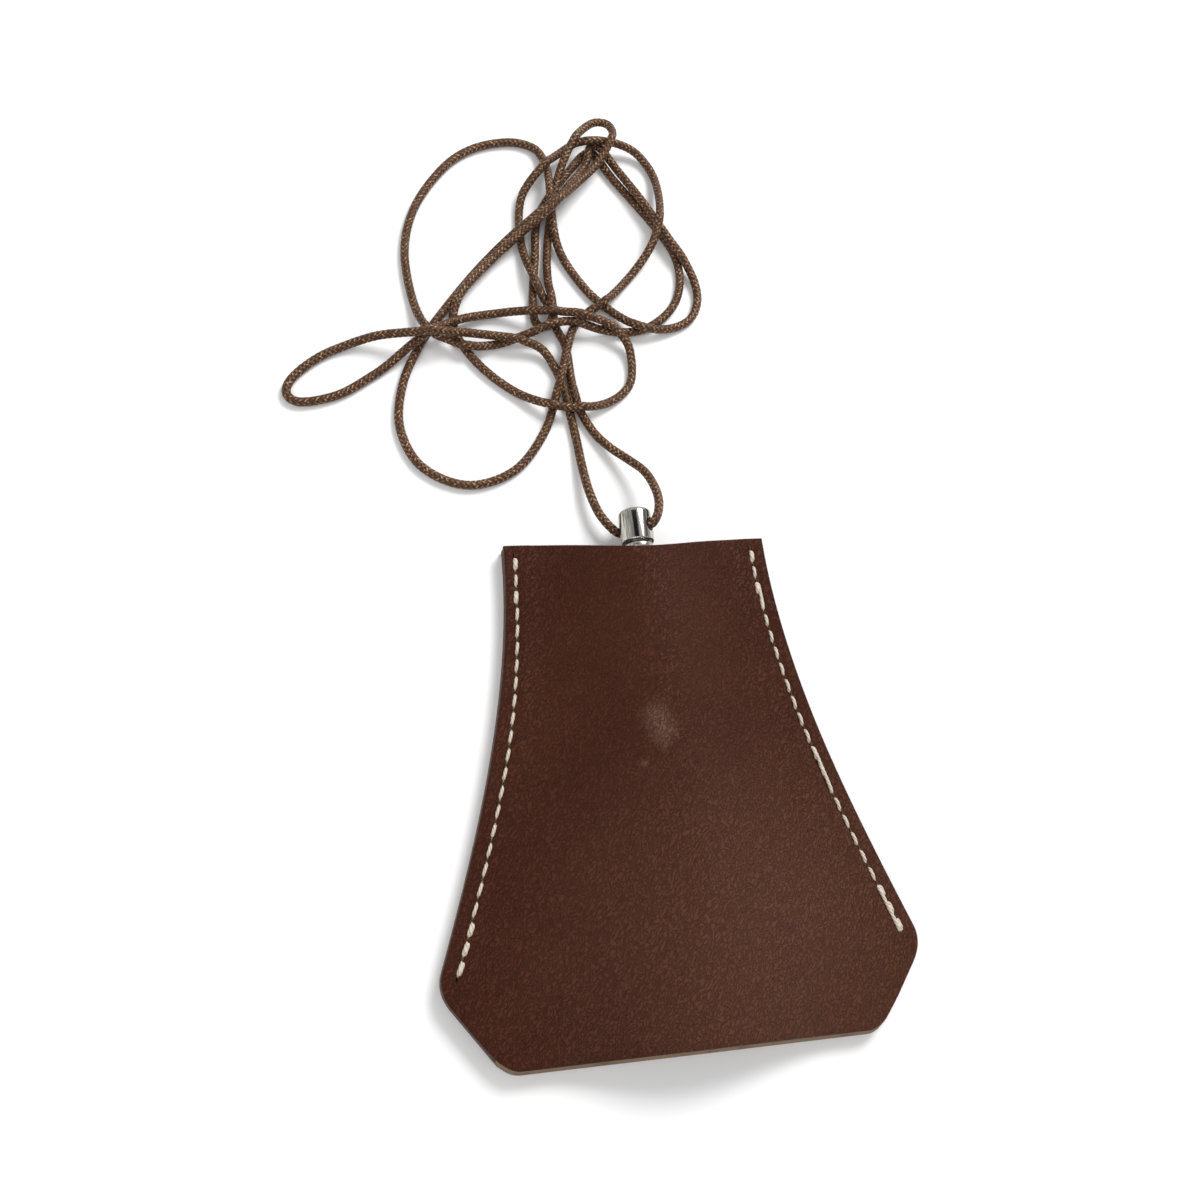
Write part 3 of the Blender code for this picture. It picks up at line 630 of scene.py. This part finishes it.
def stitch_holes():
    """Oval holes of both seams, as one cutter that leaves cut leather behind it."""
    vertices = []
    faces = []
    sides = 12
    for side in (-1, 1):
        holes = seam_line(side)
        for hole, along in zip(holes, seam_directions(holes)):
            across = Vector((-along.y, along.x))
            start = len(vertices)
            for z in (-1.0, FLANGE_TOP + 1):
                for step in range(sides):
                    angle = 2 * math.pi * step / sides
                    spoke = along * HOLE_LENGTH * math.cos(angle)
                    spoke = spoke + across * HOLE_WIDTH * math.sin(angle)
                    vertices.append((*(hole + spoke / 2), z))
            faces.append(tuple(range(start, start + sides)))
            faces.append(tuple(range(start + sides, start + 2 * sides)))
            for step in range(sides):
                near = start + step
                far = start + (step + 1) % sides
                faces.append((near, far, far + sides, near + sides))
    cutter = mesh_object("stitch_holes", vertices, faces)
    for _ in range(OTHER_EDGE + 1):
        cutter.data.materials.append(None)
    cutter.data.polygons.foreach_set("material_index", [MOUTH_EDGE] * len(faces))
    return outward(cutter)


def stitch_run(holes, surface, outside, depth, aside):
    """Thread over the leather and down through each hole. outside is 1 above and -1 below."""
    rising = [(0.4, -depth), (0.5, -0.5), (0.63, -0.25), (0.82, -0.06), (1.1, 0.09)]
    points = []
    for near, far in zip(holes, holes[1:]):
        length = (far - near).length
        along = (far - near) / length
        across = Vector((-along.y, along.x))
        shape = rising + [(length / 2, STITCH_CROWN)]
        shape += [(length - distance, height) for distance, height in rising[::-1]]
        for distance, height in shape:
            lean = STITCH_LEAN * (0.5 - distance / length)
            place = near + along * distance + across * (aside + lean)
            points.append((place.x, place.y, surface + outside * height))
    return smooth_curve(np.array(points), 0.12, 3)


def twist(around, along):
    """Relief of a thread twisted from plies."""
    return 0.07 * np.abs(np.sin(math.pi * (THREAD_PLIES * around + along / THREAD_LAY))) - 0.03


def seam_thread(seam, side, surface, outside, depth, finish):
    """One seam's thread on one face, sewn back over itself at both ends. The right seam also has
    a few long stitches, which pass over a hole or two."""
    name = f"{seam}_stitches"
    holes = seam_line(side)
    passes = [(holes, 0.0), (holes[:2], 0.22), (holes[2:4], -0.2), (holes[-4:], 0.26)]
    if side > 0:
        passes += [(holes[2:5:2], 0.12), (holes[12:16:3], 0.05), (holes[-4::3], -0.18)]
    runs = [stitch_run(sewn, surface, outside, depth, aside) for sewn, aside in passes]
    thread = joined(name, [tube(name, run, THREAD_RADIUS, twist, 12, finish) for run in runs])
    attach(thread, "pouch")
    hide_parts(f"{seam}_thread")


def pouch(leather, suede, cut_edge, waxed_edge, thread):
    front_points = panel_points(front_top, front_underside, MOUTH_BEVEL)
    front = panel("front_leather", *front_points, leather, suede, cut_edge, waxed_edge)
    rear_points = panel_points(rear_top, rear_underside, 0)
    rear = panel("rear_leather", *rear_points, suede, leather, cut_edge, waxed_edge)
    for made, node in ((front, "front_panel"), (rear, "rear_panel")):
        hollow_out(made, stitch_holes())
        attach(made, "pouch")
        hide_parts(node)
    faces = [("front", FLANGE_TOP - SEAM_DENT, 1, 1.0), ("rear", REAR_CHANNEL, -1, 0.5)]
    for side, word in ((-1, "left"), (1, "right")):
        for face, surface, outside, depth in faces:
            seam_thread(f"{word}_{face}", side, surface, outside, depth, thread)


# ---------------------------------------------------------------- barrel and swivel


def at_drop(x, drop, z=AXIS_Z):
    return Vector((x, TOP_Y - drop, z))


def cord_barrel(finish):
    """Nickel barrel with a rounded end, an eased cross hole and a bore at its mouth."""
    length = BARREL_HIGH.y - BARREL_LOW.y
    radius = BARREL_RADIUS
    profile = [(0, 0)]
    profile += round_corner((0, radius - 0.75), (0, radius), (0.75, radius))
    profile += [(length / 2, radius)]
    profile += round_corner((length - 0.35, radius), (length, radius), (length, radius - 0.35))
    profile += round_corner((length, 2.15), (length, 2.0), (length - 0.15, 2.0), 3)
    profile += [(length - 1.6, 2.0), (length - 1.6, 0)]
    start = Vector((0, BARREL_HIGH.y, AXIS_Z))
    barrel = turned("barrel_shell", profile, start, TOWARDS_MOUTH, 96, finish)
    across = Vector((math.cos(CROSS_HOLE_TILT), 0, math.sin(CROSS_HOLE_TILT)))
    eased = CROSS_HOLE_RADIUS + 0.3
    hole = [(-5, 0), (-5, eased), (-2.9, eased)]
    hole += round_corner((-2.85, eased), (-2.6, CROSS_HOLE_RADIUS), (-2.3, CROSS_HOLE_RADIUS), 4)
    hole += [(-along, wide) for along, wide in hole[::-1]]
    hollow_out(barrel, turned("cross_hole", hole, CROSS_HOLE, across, 48))
    crisp_edges(barrel)
    finished_metal(barrel, "barrel", "cord_barrel")


def barrel_collar(finish):
    """Domed bush in the barrel's mouth."""
    profile = [(0, 1.2), (0, 1.82), (0.7, 1.82), (0.7, 2.4)]
    profile += round_corner((0.75, 2.45), (0.8, 2.62), (1.2, 2.62), 4)
    profile += round_corner((1.4, 2.62), (2.35, 2.55), (2.5, 1.75), 10)
    profile += [(2.5, 1.2)]
    collar = turned("collar_dome", profile, at_drop(0, 0.6), TOWARDS_MOUTH, 72, finish)
    crisp_edges(collar, 50)
    finished_metal(collar, "barrel", "barrel_collar")


def swivel_stem(finish):
    """Headed pin that turns in the collar."""
    profile = [(0, 0), (0, 1.45), (0.12, 1.6), (0.63, 1.6), (0.75, 1.45), (0.75, 0.95)]
    profile += [(8.6, 0.95), (8.6, 0)]
    stem = turned("stem_pin", profile, at_drop(0, -0.4), TOWARDS_MOUTH, 48, finish)
    crisp_edges(stem)
    finished_metal(stem, "hook", "swivel_stem")


def finished_metal(made, body, node):
    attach(made, body)
    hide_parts(node)


# ---------------------------------------------------------------- snap hook


def plain(around, along):
    """Relief of a smooth bar."""
    return 0.0 * (around + along)


def plate(name, outline, half_thickness, *finishes):
    """Flat outline, given as (x, drop) points, either side of the barrel's axis."""
    count = len(outline)
    vertices = [at_drop(x, drop, AXIS_Z - half_thickness) for x, drop in outline]
    vertices += [at_drop(x, drop, AXIS_Z + half_thickness) for x, drop in outline]
    faces = [tuple(range(count)), tuple(range(count, 2 * count))]
    for step in range(count):
        following = (step + 1) % count
        faces.append((step, following, following + count, step + count))
    return outward(mesh_object(name, vertices, faces, *finishes))


def disc(x, drop, radius, steps=40):
    angles = [2 * math.pi * step / steps for step in range(steps)]
    return [(x + radius * math.cos(angle), drop + radius * math.sin(angle)) for angle in angles]


def cast(name, parts, voxel, rounds):
    """Overlapping solids melted into one casting with soft edges and fillets."""
    body = joined(name, parts)
    melt = body.modifiers.new("melt", "REMESH")
    melt.mode = "VOXEL"
    melt.voxel_size = voxel * MM
    melt.use_smooth_shade = True
    soften = body.modifiers.new("soften", "SMOOTH")
    soften.factor = 0.5
    soften.iterations = rounds
    bpy.context.view_layer.objects.active = body
    for modifier in (melt, soften):
        bpy.ops.object.modifier_apply(modifier=modifier.name)
    return body


def hook_rod_line():
    """Centre line of the hook: neck, spine, round bottom and nose."""
    steps = [math.pi * step / 16 for step in range(17)]
    middle = (GATE_X + SPINE_X) / 2
    reach = (GATE_X - SPINE_X) / 2
    shoulder = [(0.0, 10.5), (-1.6, 11.6), (-3.2, 13.2), (SPINE_X, 15.6), (SPINE_X, 22.0)]
    bottom = [
        (middle - reach * math.cos(turn), BOTTOM_DROP + BOTTOM_DEPTH * math.sin(turn))
        for turn in steps
    ]
    nose = [(GATE_X, NOSE_DROP + 1.2), (GATE_X, NOSE_DROP)]
    points = [at_drop(x, drop) for x, drop in shoulder + bottom + nose]
    return smooth_curve(np.array(points), 0.4, 3)


def hook_body(finish):
    """Neck, clevis for the gate, spine and nose in one casting."""
    lug = [(-2.4, 9.0), (2.4, 9.0), (4.2, 11.6), (5.0, 13.8), (5.0, PIVOT_DROP), (4.6, 16.1)]
    lug += [(3.8, 16.7), (2.6, 16.6), (0.6, 14.9), (-1.0, 13.4), (-2.4, 12.0)]
    neck = [(0, 0), (0, 1.9), (0.4, 2.25), (4.4, 2.25), (5.2, 1.6), (5.2, 0)]
    parts = [plate("lug", lug, LUG_HALF, finish)]
    parts.append(tube("rod", hook_rod_line(), HOOK_ROD_RADIUS, plain, 32, finish))
    parts.append(turned("neck", neck, at_drop(0, 5.3), TOWARDS_MOUTH, 48, finish))
    body = cast("hook_casting", parts, 0.13, 7)
    bore = [(0, 0), (0, 1.1), (5, 1.1), (5, 0)]
    hollow_out(body, turned("stem_bore", bore, at_drop(0, 3.5), TOWARDS_MOUTH, 40))
    slot_start = PIVOT_DROP - 2.4
    slot = [(0.9, slot_start), (9, slot_start), (9, 20), (0.9, 20)]
    hollow_out(body, plate("clevis_slot", slot, 0.65))
    hollow_out(body, plate("pin_hole", disc(PIVOT_X, PIVOT_DROP, PIN_HOLE_RADIUS), 3))
    crisp_edges(body)
    finished_metal(body, "hook", "hook_body")


def hook_gate(finish):
    """Lever that closes the hook, with a flat eye on the pin and a thumb tab."""
    arm = [at_drop(GATE_X, drop) for drop in (PIVOT_DROP + 2.3, 22.0, GATE_TIP_DROP)]
    tang = [(PIVOT_X - 0.8, PIVOT_DROP + 0.9), (PIVOT_X + 1.2, PIVOT_DROP + 0.9)]
    tang += [(GATE_X + 0.9, 18.4), (GATE_X - 0.9, 18.4)]
    tab = [(GATE_X + 0.3, 18.0), (5.6, 18.8), (5.9, 20.0), (5.4, 21.0), (GATE_X + 0.3, 21.6)]
    parts = [plate("eye", disc(PIVOT_X, PIVOT_DROP, 1.5), 0.47, finish)]
    parts.append(tube("arm", smooth_curve(np.array(arm), 0.4, 3), 1.06, plain, 32, finish))
    parts.append(plate("tang", tang, 0.45, finish))
    parts.append(plate("tab", tab, 0.85, finish))
    gate = cast("gate_lever", parts, 0.1, 5)
    hollow_out(gate, plate("gate_hole", disc(PIVOT_X, PIVOT_DROP, PIN_HOLE_RADIUS), 3))
    crisp_edges(gate)
    finished_metal(gate, "gate", "hook_gate")


def gate_pin(finish):
    """Pin with peened, domed ends."""
    profile = [(-LUG_HALF - 0.12, 0), (-LUG_HALF - 0.08, 0.3), (-LUG_HALF, 0.5)]
    profile += [(-along, radius) for along, radius in profile[::-1]]
    upwards = Vector((0, 0, 1))
    pin = turned("pivot_pin", profile, at_drop(PIVOT_X, PIVOT_DROP), upwards, 40, finish)
    crisp_edges(pin, 60)
    finished_metal(pin, "hook", "gate_pin")


def gate_spring(finish):
    """Bent steel leaf between the casting and the gate's inner side, which bends it inwards."""
    bends = np.array([(1.05, 14.1), (1.75, 15.6), (1.97, 17.2), (2.2, 19.2), (2.3, 21.0)])
    line = smooth_curve(bends, 0.3)
    across = np.gradient(line, axis=0)[:, ::-1] * (1, -1)
    across /= np.linalg.norm(across, axis=1)[:, None]
    outline = list(line + 0.15 * across) + list((line - 0.15 * across)[::-1])
    leaf = plate("spring_leaf", outline, 0.55, finish)
    crisp_edges(leaf)
    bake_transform(leaf)
    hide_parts("gate_spring")


# ---------------------------------------------------------------- materials


def add(tree, kind, sockets=(), **settings):
    """Adds a node. sockets gives pairs of an input and its value or another node's output."""
    made = tree.nodes.new(kind)
    for name, value in settings.items():
        setattr(made, name, value)
    for socket, value in sockets:
        if isinstance(value, bpy.types.NodeSocket):
            tree.links.new(value, made.inputs[socket])
        else:
            made.inputs[socket].default_value = value
    return made


def new_material(name, metallic=0.0):
    made = bpy.data.materials.new(name)
    made.use_nodes = True
    shader = made.node_tree.nodes["Principled BSDF"]
    shader.inputs["Metallic"].default_value = metallic
    return made, made.node_tree, shader


def millimetres(tree, stretch=(1, 1, 1)):
    """The object's own coordinates in millimetres, times a stretch along each axis."""
    place = add(tree, "ShaderNodeTexCoord").outputs["Object"]
    scale = tuple(factor / MM for factor in stretch)
    return add(tree, "ShaderNodeMapping", [("Vector", place), ("Scale", scale)]).outputs["Vector"]


def noise(tree, place, scale, detail=2.0, distortion=0.0):
    sockets = [("Vector", place), ("Scale", scale), ("Detail", detail), ("Distortion", distortion)]
    return add(tree, "ShaderNodeTexNoise", sockets).outputs["Fac"]


def maths(tree, operation, first, second=0.0):
    return add(tree, "ShaderNodeMath", [(0, first), (1, second)], operation=operation).outputs[0]


def spread(tree, value, low, high, new_low=0.0, new_high=1.0):
    """Maps a range of values smoothly to another."""
    sockets = [("Value", value), ("From Min", low), ("From Max", high)]
    sockets += [("To Min", new_low), ("To Max", new_high)]
    made = add(tree, "ShaderNodeMapRange", sockets, interpolation_type="SMOOTHSTEP")
    return made.outputs["Result"]


def mixed(tree, share, first, second):
    made = add(tree, "ShaderNodeMix", data_type="RGBA")
    for socket, value in zip((0, 6, 7), (share, first, second)):
        if isinstance(value, bpy.types.NodeSocket):
            tree.links.new(value, made.inputs[socket])
        else:
            made.inputs[socket].default_value = value if socket == 0 else (*value, 1)
    return made.outputs[2]


def bumped(tree, height, depth, strength=1.0):
    """A normal from a height whose full range is a depth in millimetres."""
    sockets = [("Height", height), ("Distance", depth * MM), ("Strength", strength)]
    return add(tree, "ShaderNodeBump", sockets).outputs["Normal"]


def near_place(tree, place, centre, radius):
    """1 at a centre in millimetres, falling to 0 at a radius."""
    sockets = [(0, place), (1, centre)]
    gap = add(tree, "ShaderNodeVectorMath", sockets, operation="DISTANCE").outputs["Value"]
    return spread(tree, gap, radius, 0.0)


def finish_shader(tree, shader, colour, roughness, normal=None):
    tree.links.new(colour, shader.inputs["Base Color"])
    tree.links.new(roughness, shader.inputs["Roughness"])
    if normal:
        tree.links.new(normal, shader.inputs["Normal"])


def drawn_noise(tree, place, degrees, scale):
    """Noise drawn out at an angle across the leather."""
    rotation = (0, 0, math.radians(-degrees))
    angled = add(tree, "ShaderNodeMapping", [("Vector", place), ("Rotation", rotation)])
    sockets = [("Vector", angled.outputs["Vector"]), ("Scale", (0.5, 1, 1))]
    drawn = add(tree, "ShaderNodeMapping", sockets).outputs["Vector"]
    return noise(tree, drawn, scale, 1.0, 0.6)


def grain_height(tree, place):
    """Fine leather grain: narrow winding creases between smooth raised parts."""
    middle = maths(tree, "SUBTRACT", drawn_noise(tree, place, 55, 2.4), 0.5)
    return spread(tree, maths(tree, "ABSOLUTE", middle), 0.0, 0.11)


def near_bump(tree, place, marks):
    """1 at marks on the hook's bump, falling to 0 at their radii. Each row is how far the mark is
    aside of the bump and ahead of it, the mark's height and its radius."""
    nearest = 0.0
    for aside, ahead, height, radius in marks:
        centre = (BULGE_X + aside, TOP_Y - BULGE_DROP + ahead, height)
        nearest = maths(tree, "MAXIMUM", near_place(tree, place, centre, radius), nearest)
    return nearest


def grained_leather():
    """Dark red-brown smooth-side leather, with painted shade in the creases of its grain, a painted
    sheen that makes it paler towards the mouth on the right, and a painted highlight on the hook's
    bump, which has a few scuffs."""
    made, tree, shader = new_material("grained_leather")
    place = millimetres(tree)
    grain = grain_height(tree, place)
    clouds = noise(tree, place, 0.05, 3.0)
    shares = spread(tree, clouds, 0.3, 0.7)
    fresh = mixed(tree, shares, (0.054, 0.0145, 0.0067), (0.065, 0.0195, 0.0090))
    # Painted sheen: the tone turns paler towards the mouth on the right side.
    painted_sheen_share = maths(tree, "MULTIPLY", near_place(tree, place, (14.0, -32.0, 4.0), 52.0), 0.7)
    tone = mixed(tree, painted_sheen_share, fresh, (0.112, 0.046, 0.029))
    # Painted shade: the grain's creases are darkened towards near-black.
    raised = spread(tree, grain, 0.0, 0.9, 0.68, 1.0)
    crease_shaded_tone = mixed(tree, raised, (0.018, 0.005, 0.0025), tone)
    # Painted highlight: paler on the hook's bump, broken up by the grain.
    bump_highlight_reach = near_bump(tree, place, [(0.5, 1.8, 10.1, 3.9), (1.2, -0.4, 10.1, 3.9)])
    painted_highlight_share = maths(tree, "MULTIPLY", bump_highlight_reach, spread(tree, grain, 0.1, 0.9, 0.24, 0.5))
    paler = mixed(tree, painted_highlight_share, crease_shaded_tone, (0.17, 0.098, 0.068))
    marks = [(-4.6, -4.9, 9.6, 1.5), (-2.7, -5.6, 9.7, 1.6), (0.9, -2.9, 10.2, 1.7)]
    streaks = spread(tree, drawn_noise(tree, place, 40, 1.3), 0.45, 0.65, 0, 0.35)
    scuffs = maths(tree, "MULTIPLY", near_bump(tree, place, marks), streaks)
    colour = mixed(tree, scuffs, paler, (0.22, 0.13, 0.10))
    roughness = spread(tree, clouds, 0.3, 0.7, 0.56, 0.5)
    finish_shader(tree, shader, colour, roughness, bumped(tree, grain, 0.16))
    shader.inputs["Specular IOR Level"].default_value = 0.09
    return made


def suede():
    """The leather's rough flesh side."""
    made, tree, shader = new_material("suede_side")
    place = millimetres(tree)
    fibres = noise(tree, place, 4.0, 5.0, 0.8)
    clouds = noise(tree, place, 0.2, 2.0)
    tone = mixed(tree, clouds, (0.11, 0.058, 0.034), (0.17, 0.095, 0.06))
    colour = mixed(tree, spread(tree, fibres, 0.35, 0.65), (0.06, 0.03, 0.018), tone)
    roughness = spread(tree, fibres, 0, 1, 0.95, 0.8)
    finish_shader(tree, shader, colour, roughness, bumped(tree, fibres, 0.12))
    shader.inputs["Sheen Weight"].default_value = 0.3
    shader.inputs["Sheen Roughness"].default_value = 0.5
    return made


def cut_edge():
    """Raw edge: tan fibres in layers, darker where the finish has run over."""
    made, tree, shader = new_material("cut_edge")
    layers = noise(tree, millimetres(tree, (1, 1, 5)), 1.3, 4.0, 0.4)
    stains = noise(tree, millimetres(tree), 0.35, 2.0)
    tan = mixed(tree, layers, (0.10, 0.062, 0.032), (0.24, 0.155, 0.085))
    colour = mixed(tree, spread(tree, stains, 0.5, 0.72, 0.0, 0.6), tan, (0.10, 0.045, 0.025))
    roughness = spread(tree, layers, 0, 1, 0.9, 0.7)
    finish_shader(tree, shader, colour, roughness, bumped(tree, layers, 0.1))
    return made


def waxed_edge():
    """Edge of the sides and the top, rubbed smooth and darkened with wax."""
    made, tree, shader = new_material("waxed_edge")
    layers = noise(tree, millimetres(tree, (1, 1, 5)), 0.8, 3.0, 0.3)
    shares = spread(tree, layers, 0.35, 0.7)
    colour = mixed(tree, shares, (0.035, 0.0125, 0.007), (0.085, 0.037, 0.021))
    roughness = spread(tree, layers, 0, 1, 0.7, 0.5)
    finish_shader(tree, shader, colour, roughness, bumped(tree, layers, 0.05))
    shader.inputs["Specular IOR Level"].default_value = 0.1
    return made


def around_and_along(tree):
    """The two coordinates that a tube keeps: a share of a turn, and millimetres along it."""
    uv = add(tree, "ShaderNodeUVMap", uv_map="around_and_along").outputs["UV"]
    parts = add(tree, "ShaderNodeSeparateXYZ", [("Vector", uv)])
    return parts.outputs["X"], parts.outputs["Y"]


def waxed_cord():
    """Round braid of brown satin yarn, with painted shade between its strands and a painted golden
    highlight on its crowns.
    """
    made, tree, shader = new_material("waxed_cord")
    around, along = around_and_along(tree)
    share = maths(tree, "MULTIPLY", around, BRAID_COLUMNS)
    within = maths(tree, "FRACT", share)
    odd = maths(tree, "MODULO", maths(tree, "FLOOR", share), 2.0)
    slope = maths(tree, "SUBTRACT", 0.5, odd)
    pitches = maths(tree, "DIVIDE", along, BRAID_PITCH)
    phase = maths(tree, "ADD", pitches, maths(tree, "MULTIPLY", slope, within))
    wave = maths(tree, "SINE", maths(tree, "MULTIPLY", phase, math.pi))
    crowns = maths(tree, "MULTIPLY", wave, wave)
    place = millimetres(tree)
    yarn = noise(tree, place, 1.6, 4.0)
    # Painted highlight: a golden colour on the crowns, in patches.
    painted_shine = maths(tree, "MULTIPLY", spread(tree, crowns, 0.6, 1.0), spread(tree, yarn, 0.46, 0.6))
    # Painted shade: darker in the valleys between the strands.
    valley_shaded_braid = mixed(tree, crowns, (0.022, 0.008, 0.004), (0.064, 0.0265, 0.0145))
    colour = mixed(tree, maths(tree, "MULTIPLY", painted_shine, 0.65), valley_shaded_braid, (0.50, 0.32, 0.19))
    roughness = spread(tree, painted_shine, 0, 1, 0.48, 0.28)
    finish_shader(tree, shader, colour, roughness, bumped(tree, crowns, 0.07))
    shader.inputs["Specular IOR Level"].default_value = 0.55
    shader.inputs["Specular Tint"].default_value = (1.0, 0.66, 0.42, 1.0)
    return made


def cream_thread():
    """Waxed linen, with painted shade between its plies."""
    made, tree, shader = new_material("cream_thread")
    around, along = around_and_along(tree)
    plies = maths(tree, "MULTIPLY", around, THREAD_PLIES)
    turns = maths(tree, "ADD", plies, maths(tree, "DIVIDE", along, THREAD_LAY))
    ply = maths(tree, "ABSOLUTE", maths(tree, "SINE", maths(tree, "MULTIPLY", turns, math.pi)))
    fuzz = noise(tree, millimetres(tree), 6.0, 3.0)
    tone = mixed(tree, fuzz, (0.46, 0.40, 0.32), (0.74, 0.68, 0.59))
    # Painted shade: darker between the plies.
    colour = mixed(tree, spread(tree, ply, 0.1, 0.6), (0.30, 0.22, 0.15), tone)
    roughness = spread(tree, fuzz, 0, 1, 0.75, 0.55)
    finish_shader(tree, shader, colour, roughness, bumped(tree, fuzz, 0.03))
    return made


def polished_nickel(name, stretch, wear):
    """Plated metal, with the marks of turning or casting drawn out by the stretch."""
    made, tree, shader = new_material(name, 1.0)
    streaks = noise(tree, millimetres(tree, stretch), 2.2, 3.0)
    smears = noise(tree, millimetres(tree), 0.5, 2.0)
    bright = mixed(tree, spread(tree, streaks, 0.35, 0.7), (0.34, 0.32, 0.285), (0.64, 0.62, 0.58))
    colour = mixed(tree, spread(tree, smears, 0.55, 0.75, 0.0, 0.4), bright, (0.27, 0.235, 0.20))
    roughness = spread(tree, streaks, 0.3, 0.7, wear, 0.5 * wear)
    finish_shader(tree, shader, colour, roughness, bumped(tree, streaks, 0.006))
    return made


def spring_steel():
    made, tree, shader = new_material("spring_steel", 1.0)
    scratches = noise(tree, millimetres(tree, (3, 0.4, 3)), 2.0, 3.0)
    colour = mixed(tree, scratches, (0.34, 0.34, 0.36), (0.56, 0.56, 0.57))
    finish_shader(tree, shader, colour, spread(tree, scratches, 0.3, 0.7, 0.38, 0.22))
    return made


# ---------------------------------------------------------------- camera, light and floor


def camera():
    """Camera above the mouth end, looking down at the pouch, and rolled."""
    azimuth = math.radians(35.397)
    elevation = math.radians(67)
    roll = math.radians(30.933)
    target = Vector((-7.621, 29.72, 3.5)) * MM
    distance = 231.32 * MM
    level_ahead = Vector((math.sin(azimuth), math.cos(azimuth), 0))
    ahead = level_ahead * math.cos(elevation) - Vector((0, 0, math.sin(elevation)))
    level = Vector((math.cos(azimuth), -math.sin(azimuth), 0))
    above = level.cross(ahead)
    right = level * math.cos(roll) + above * math.sin(roll)
    up = above * math.cos(roll) - level * math.sin(roll)
    data = bpy.data.cameras.new("camera")
    data.lens = 40.5
    data.sensor_width = 36
    data.clip_start = 0.01
    made = bpy.data.objects.new("camera", data)
    turn = Matrix((right, up, -ahead)).transposed().to_4x4()
    made.matrix_world = Matrix.Translation(target - ahead * distance) @ turn
    bpy.context.collection.objects.link(made)
    bpy.context.scene.camera = made


def area_light(name, place, target, size, power):
    data = bpy.data.lights.new(name, "AREA")
    data.size = size
    data.energy = power
    made = bpy.data.objects.new(name, data)
    made.location = place
    made.rotation_euler = (Vector(target) - Vector(place)).to_track_quat("-Z", "Y").to_euler()
    bpy.context.collection.objects.link(made)


def studio():
    """Soft white surroundings with a few darker bands, which the metal reflects as streaks."""
    world = bpy.data.worlds.new("studio")
    world.use_nodes = True
    tree = world.node_tree
    direction = add(tree, "ShaderNodeTexCoord").outputs["Generated"]
    parts = add(tree, "ShaderNodeSeparateXYZ", [("Vector", direction)])
    share = maths(tree, "ADD", maths(tree, "MULTIPLY", parts.outputs["X"], 0.5), 0.5)
    bands = add(tree, "ShaderNodeValToRGB", [("Fac", share)])
    stops = bands.color_ramp.elements
    levels = [(0.0, 1.0), (0.1, 0.9), (0.14, 0.45), (0.18, 0.75), (0.24, 0.5), (0.28, 0.02)]
    levels += [(0.5, 0.02), (0.55, 1.0), (0.66, 0.9), (0.72, 0.3), (0.84, 0.5), (0.9, 0.1)]
    levels += [(0.97, 0.95)]
    for index, (position, level) in enumerate(levels):
        stop = stops[index] if index < 2 else stops.new(position)
        stop.position = position
        stop.color = (level, level, level, 1)
    forward = parts.outputs["Y"]
    starts = spread(tree, forward, 0.02, 0.2)
    banded = maths(tree, "MULTIPLY", starts, spread(tree, forward, 0.6, 0.45))
    around = mixed(tree, banded, (0.9, 0.9, 0.9), bands.outputs["Color"])
    background = tree.nodes["Background"]
    background.inputs["Strength"].default_value = 0.75
    tree.links.new(around, background.inputs["Color"])
    bpy.context.scene.world = world
    bpy.context.scene.view_settings.view_transform = "Standard"
    area_light("key", (0.3, 0.42, 0.52), (0, 0.03, 0), 0.3, 4.4)
    area_light("fill", (-0.35, -0.2, 0.5), (0, 0.03, 0), 0.5, 1.0)


def floor():
    size = 3000
    corners = [(-size, -size, 0), (size, -size, 0), (size, size, 0), (-size, size, 0)]
    finish, _, shader = new_material("pale_floor")
    shader.inputs["Base Color"].default_value = (0.92, 0.92, 0.92, 1)
    shader.inputs["Roughness"].default_value = 0.8
    made = mesh_object("floor", corners, [(0, 1, 2, 3)], finish)


camera()
studio()
floor()
neck_cord(waxed_cord())
pouch(grained_leather(), suede(), cut_edge(), waxed_edge(), cream_thread())
turned_nickel = polished_nickel("turned_nickel", (3.5, 0.12, 3.5), 0.16)
cast_nickel = polished_nickel("cast_nickel", (1, 1, 1), 0.34)
steel = spring_steel()
cord_barrel(turned_nickel)
barrel_collar(cast_nickel)
swivel_stem(steel)
hook_body(cast_nickel)
hook_gate(cast_nickel)
gate_pin(steel)
gate_spring(steel)
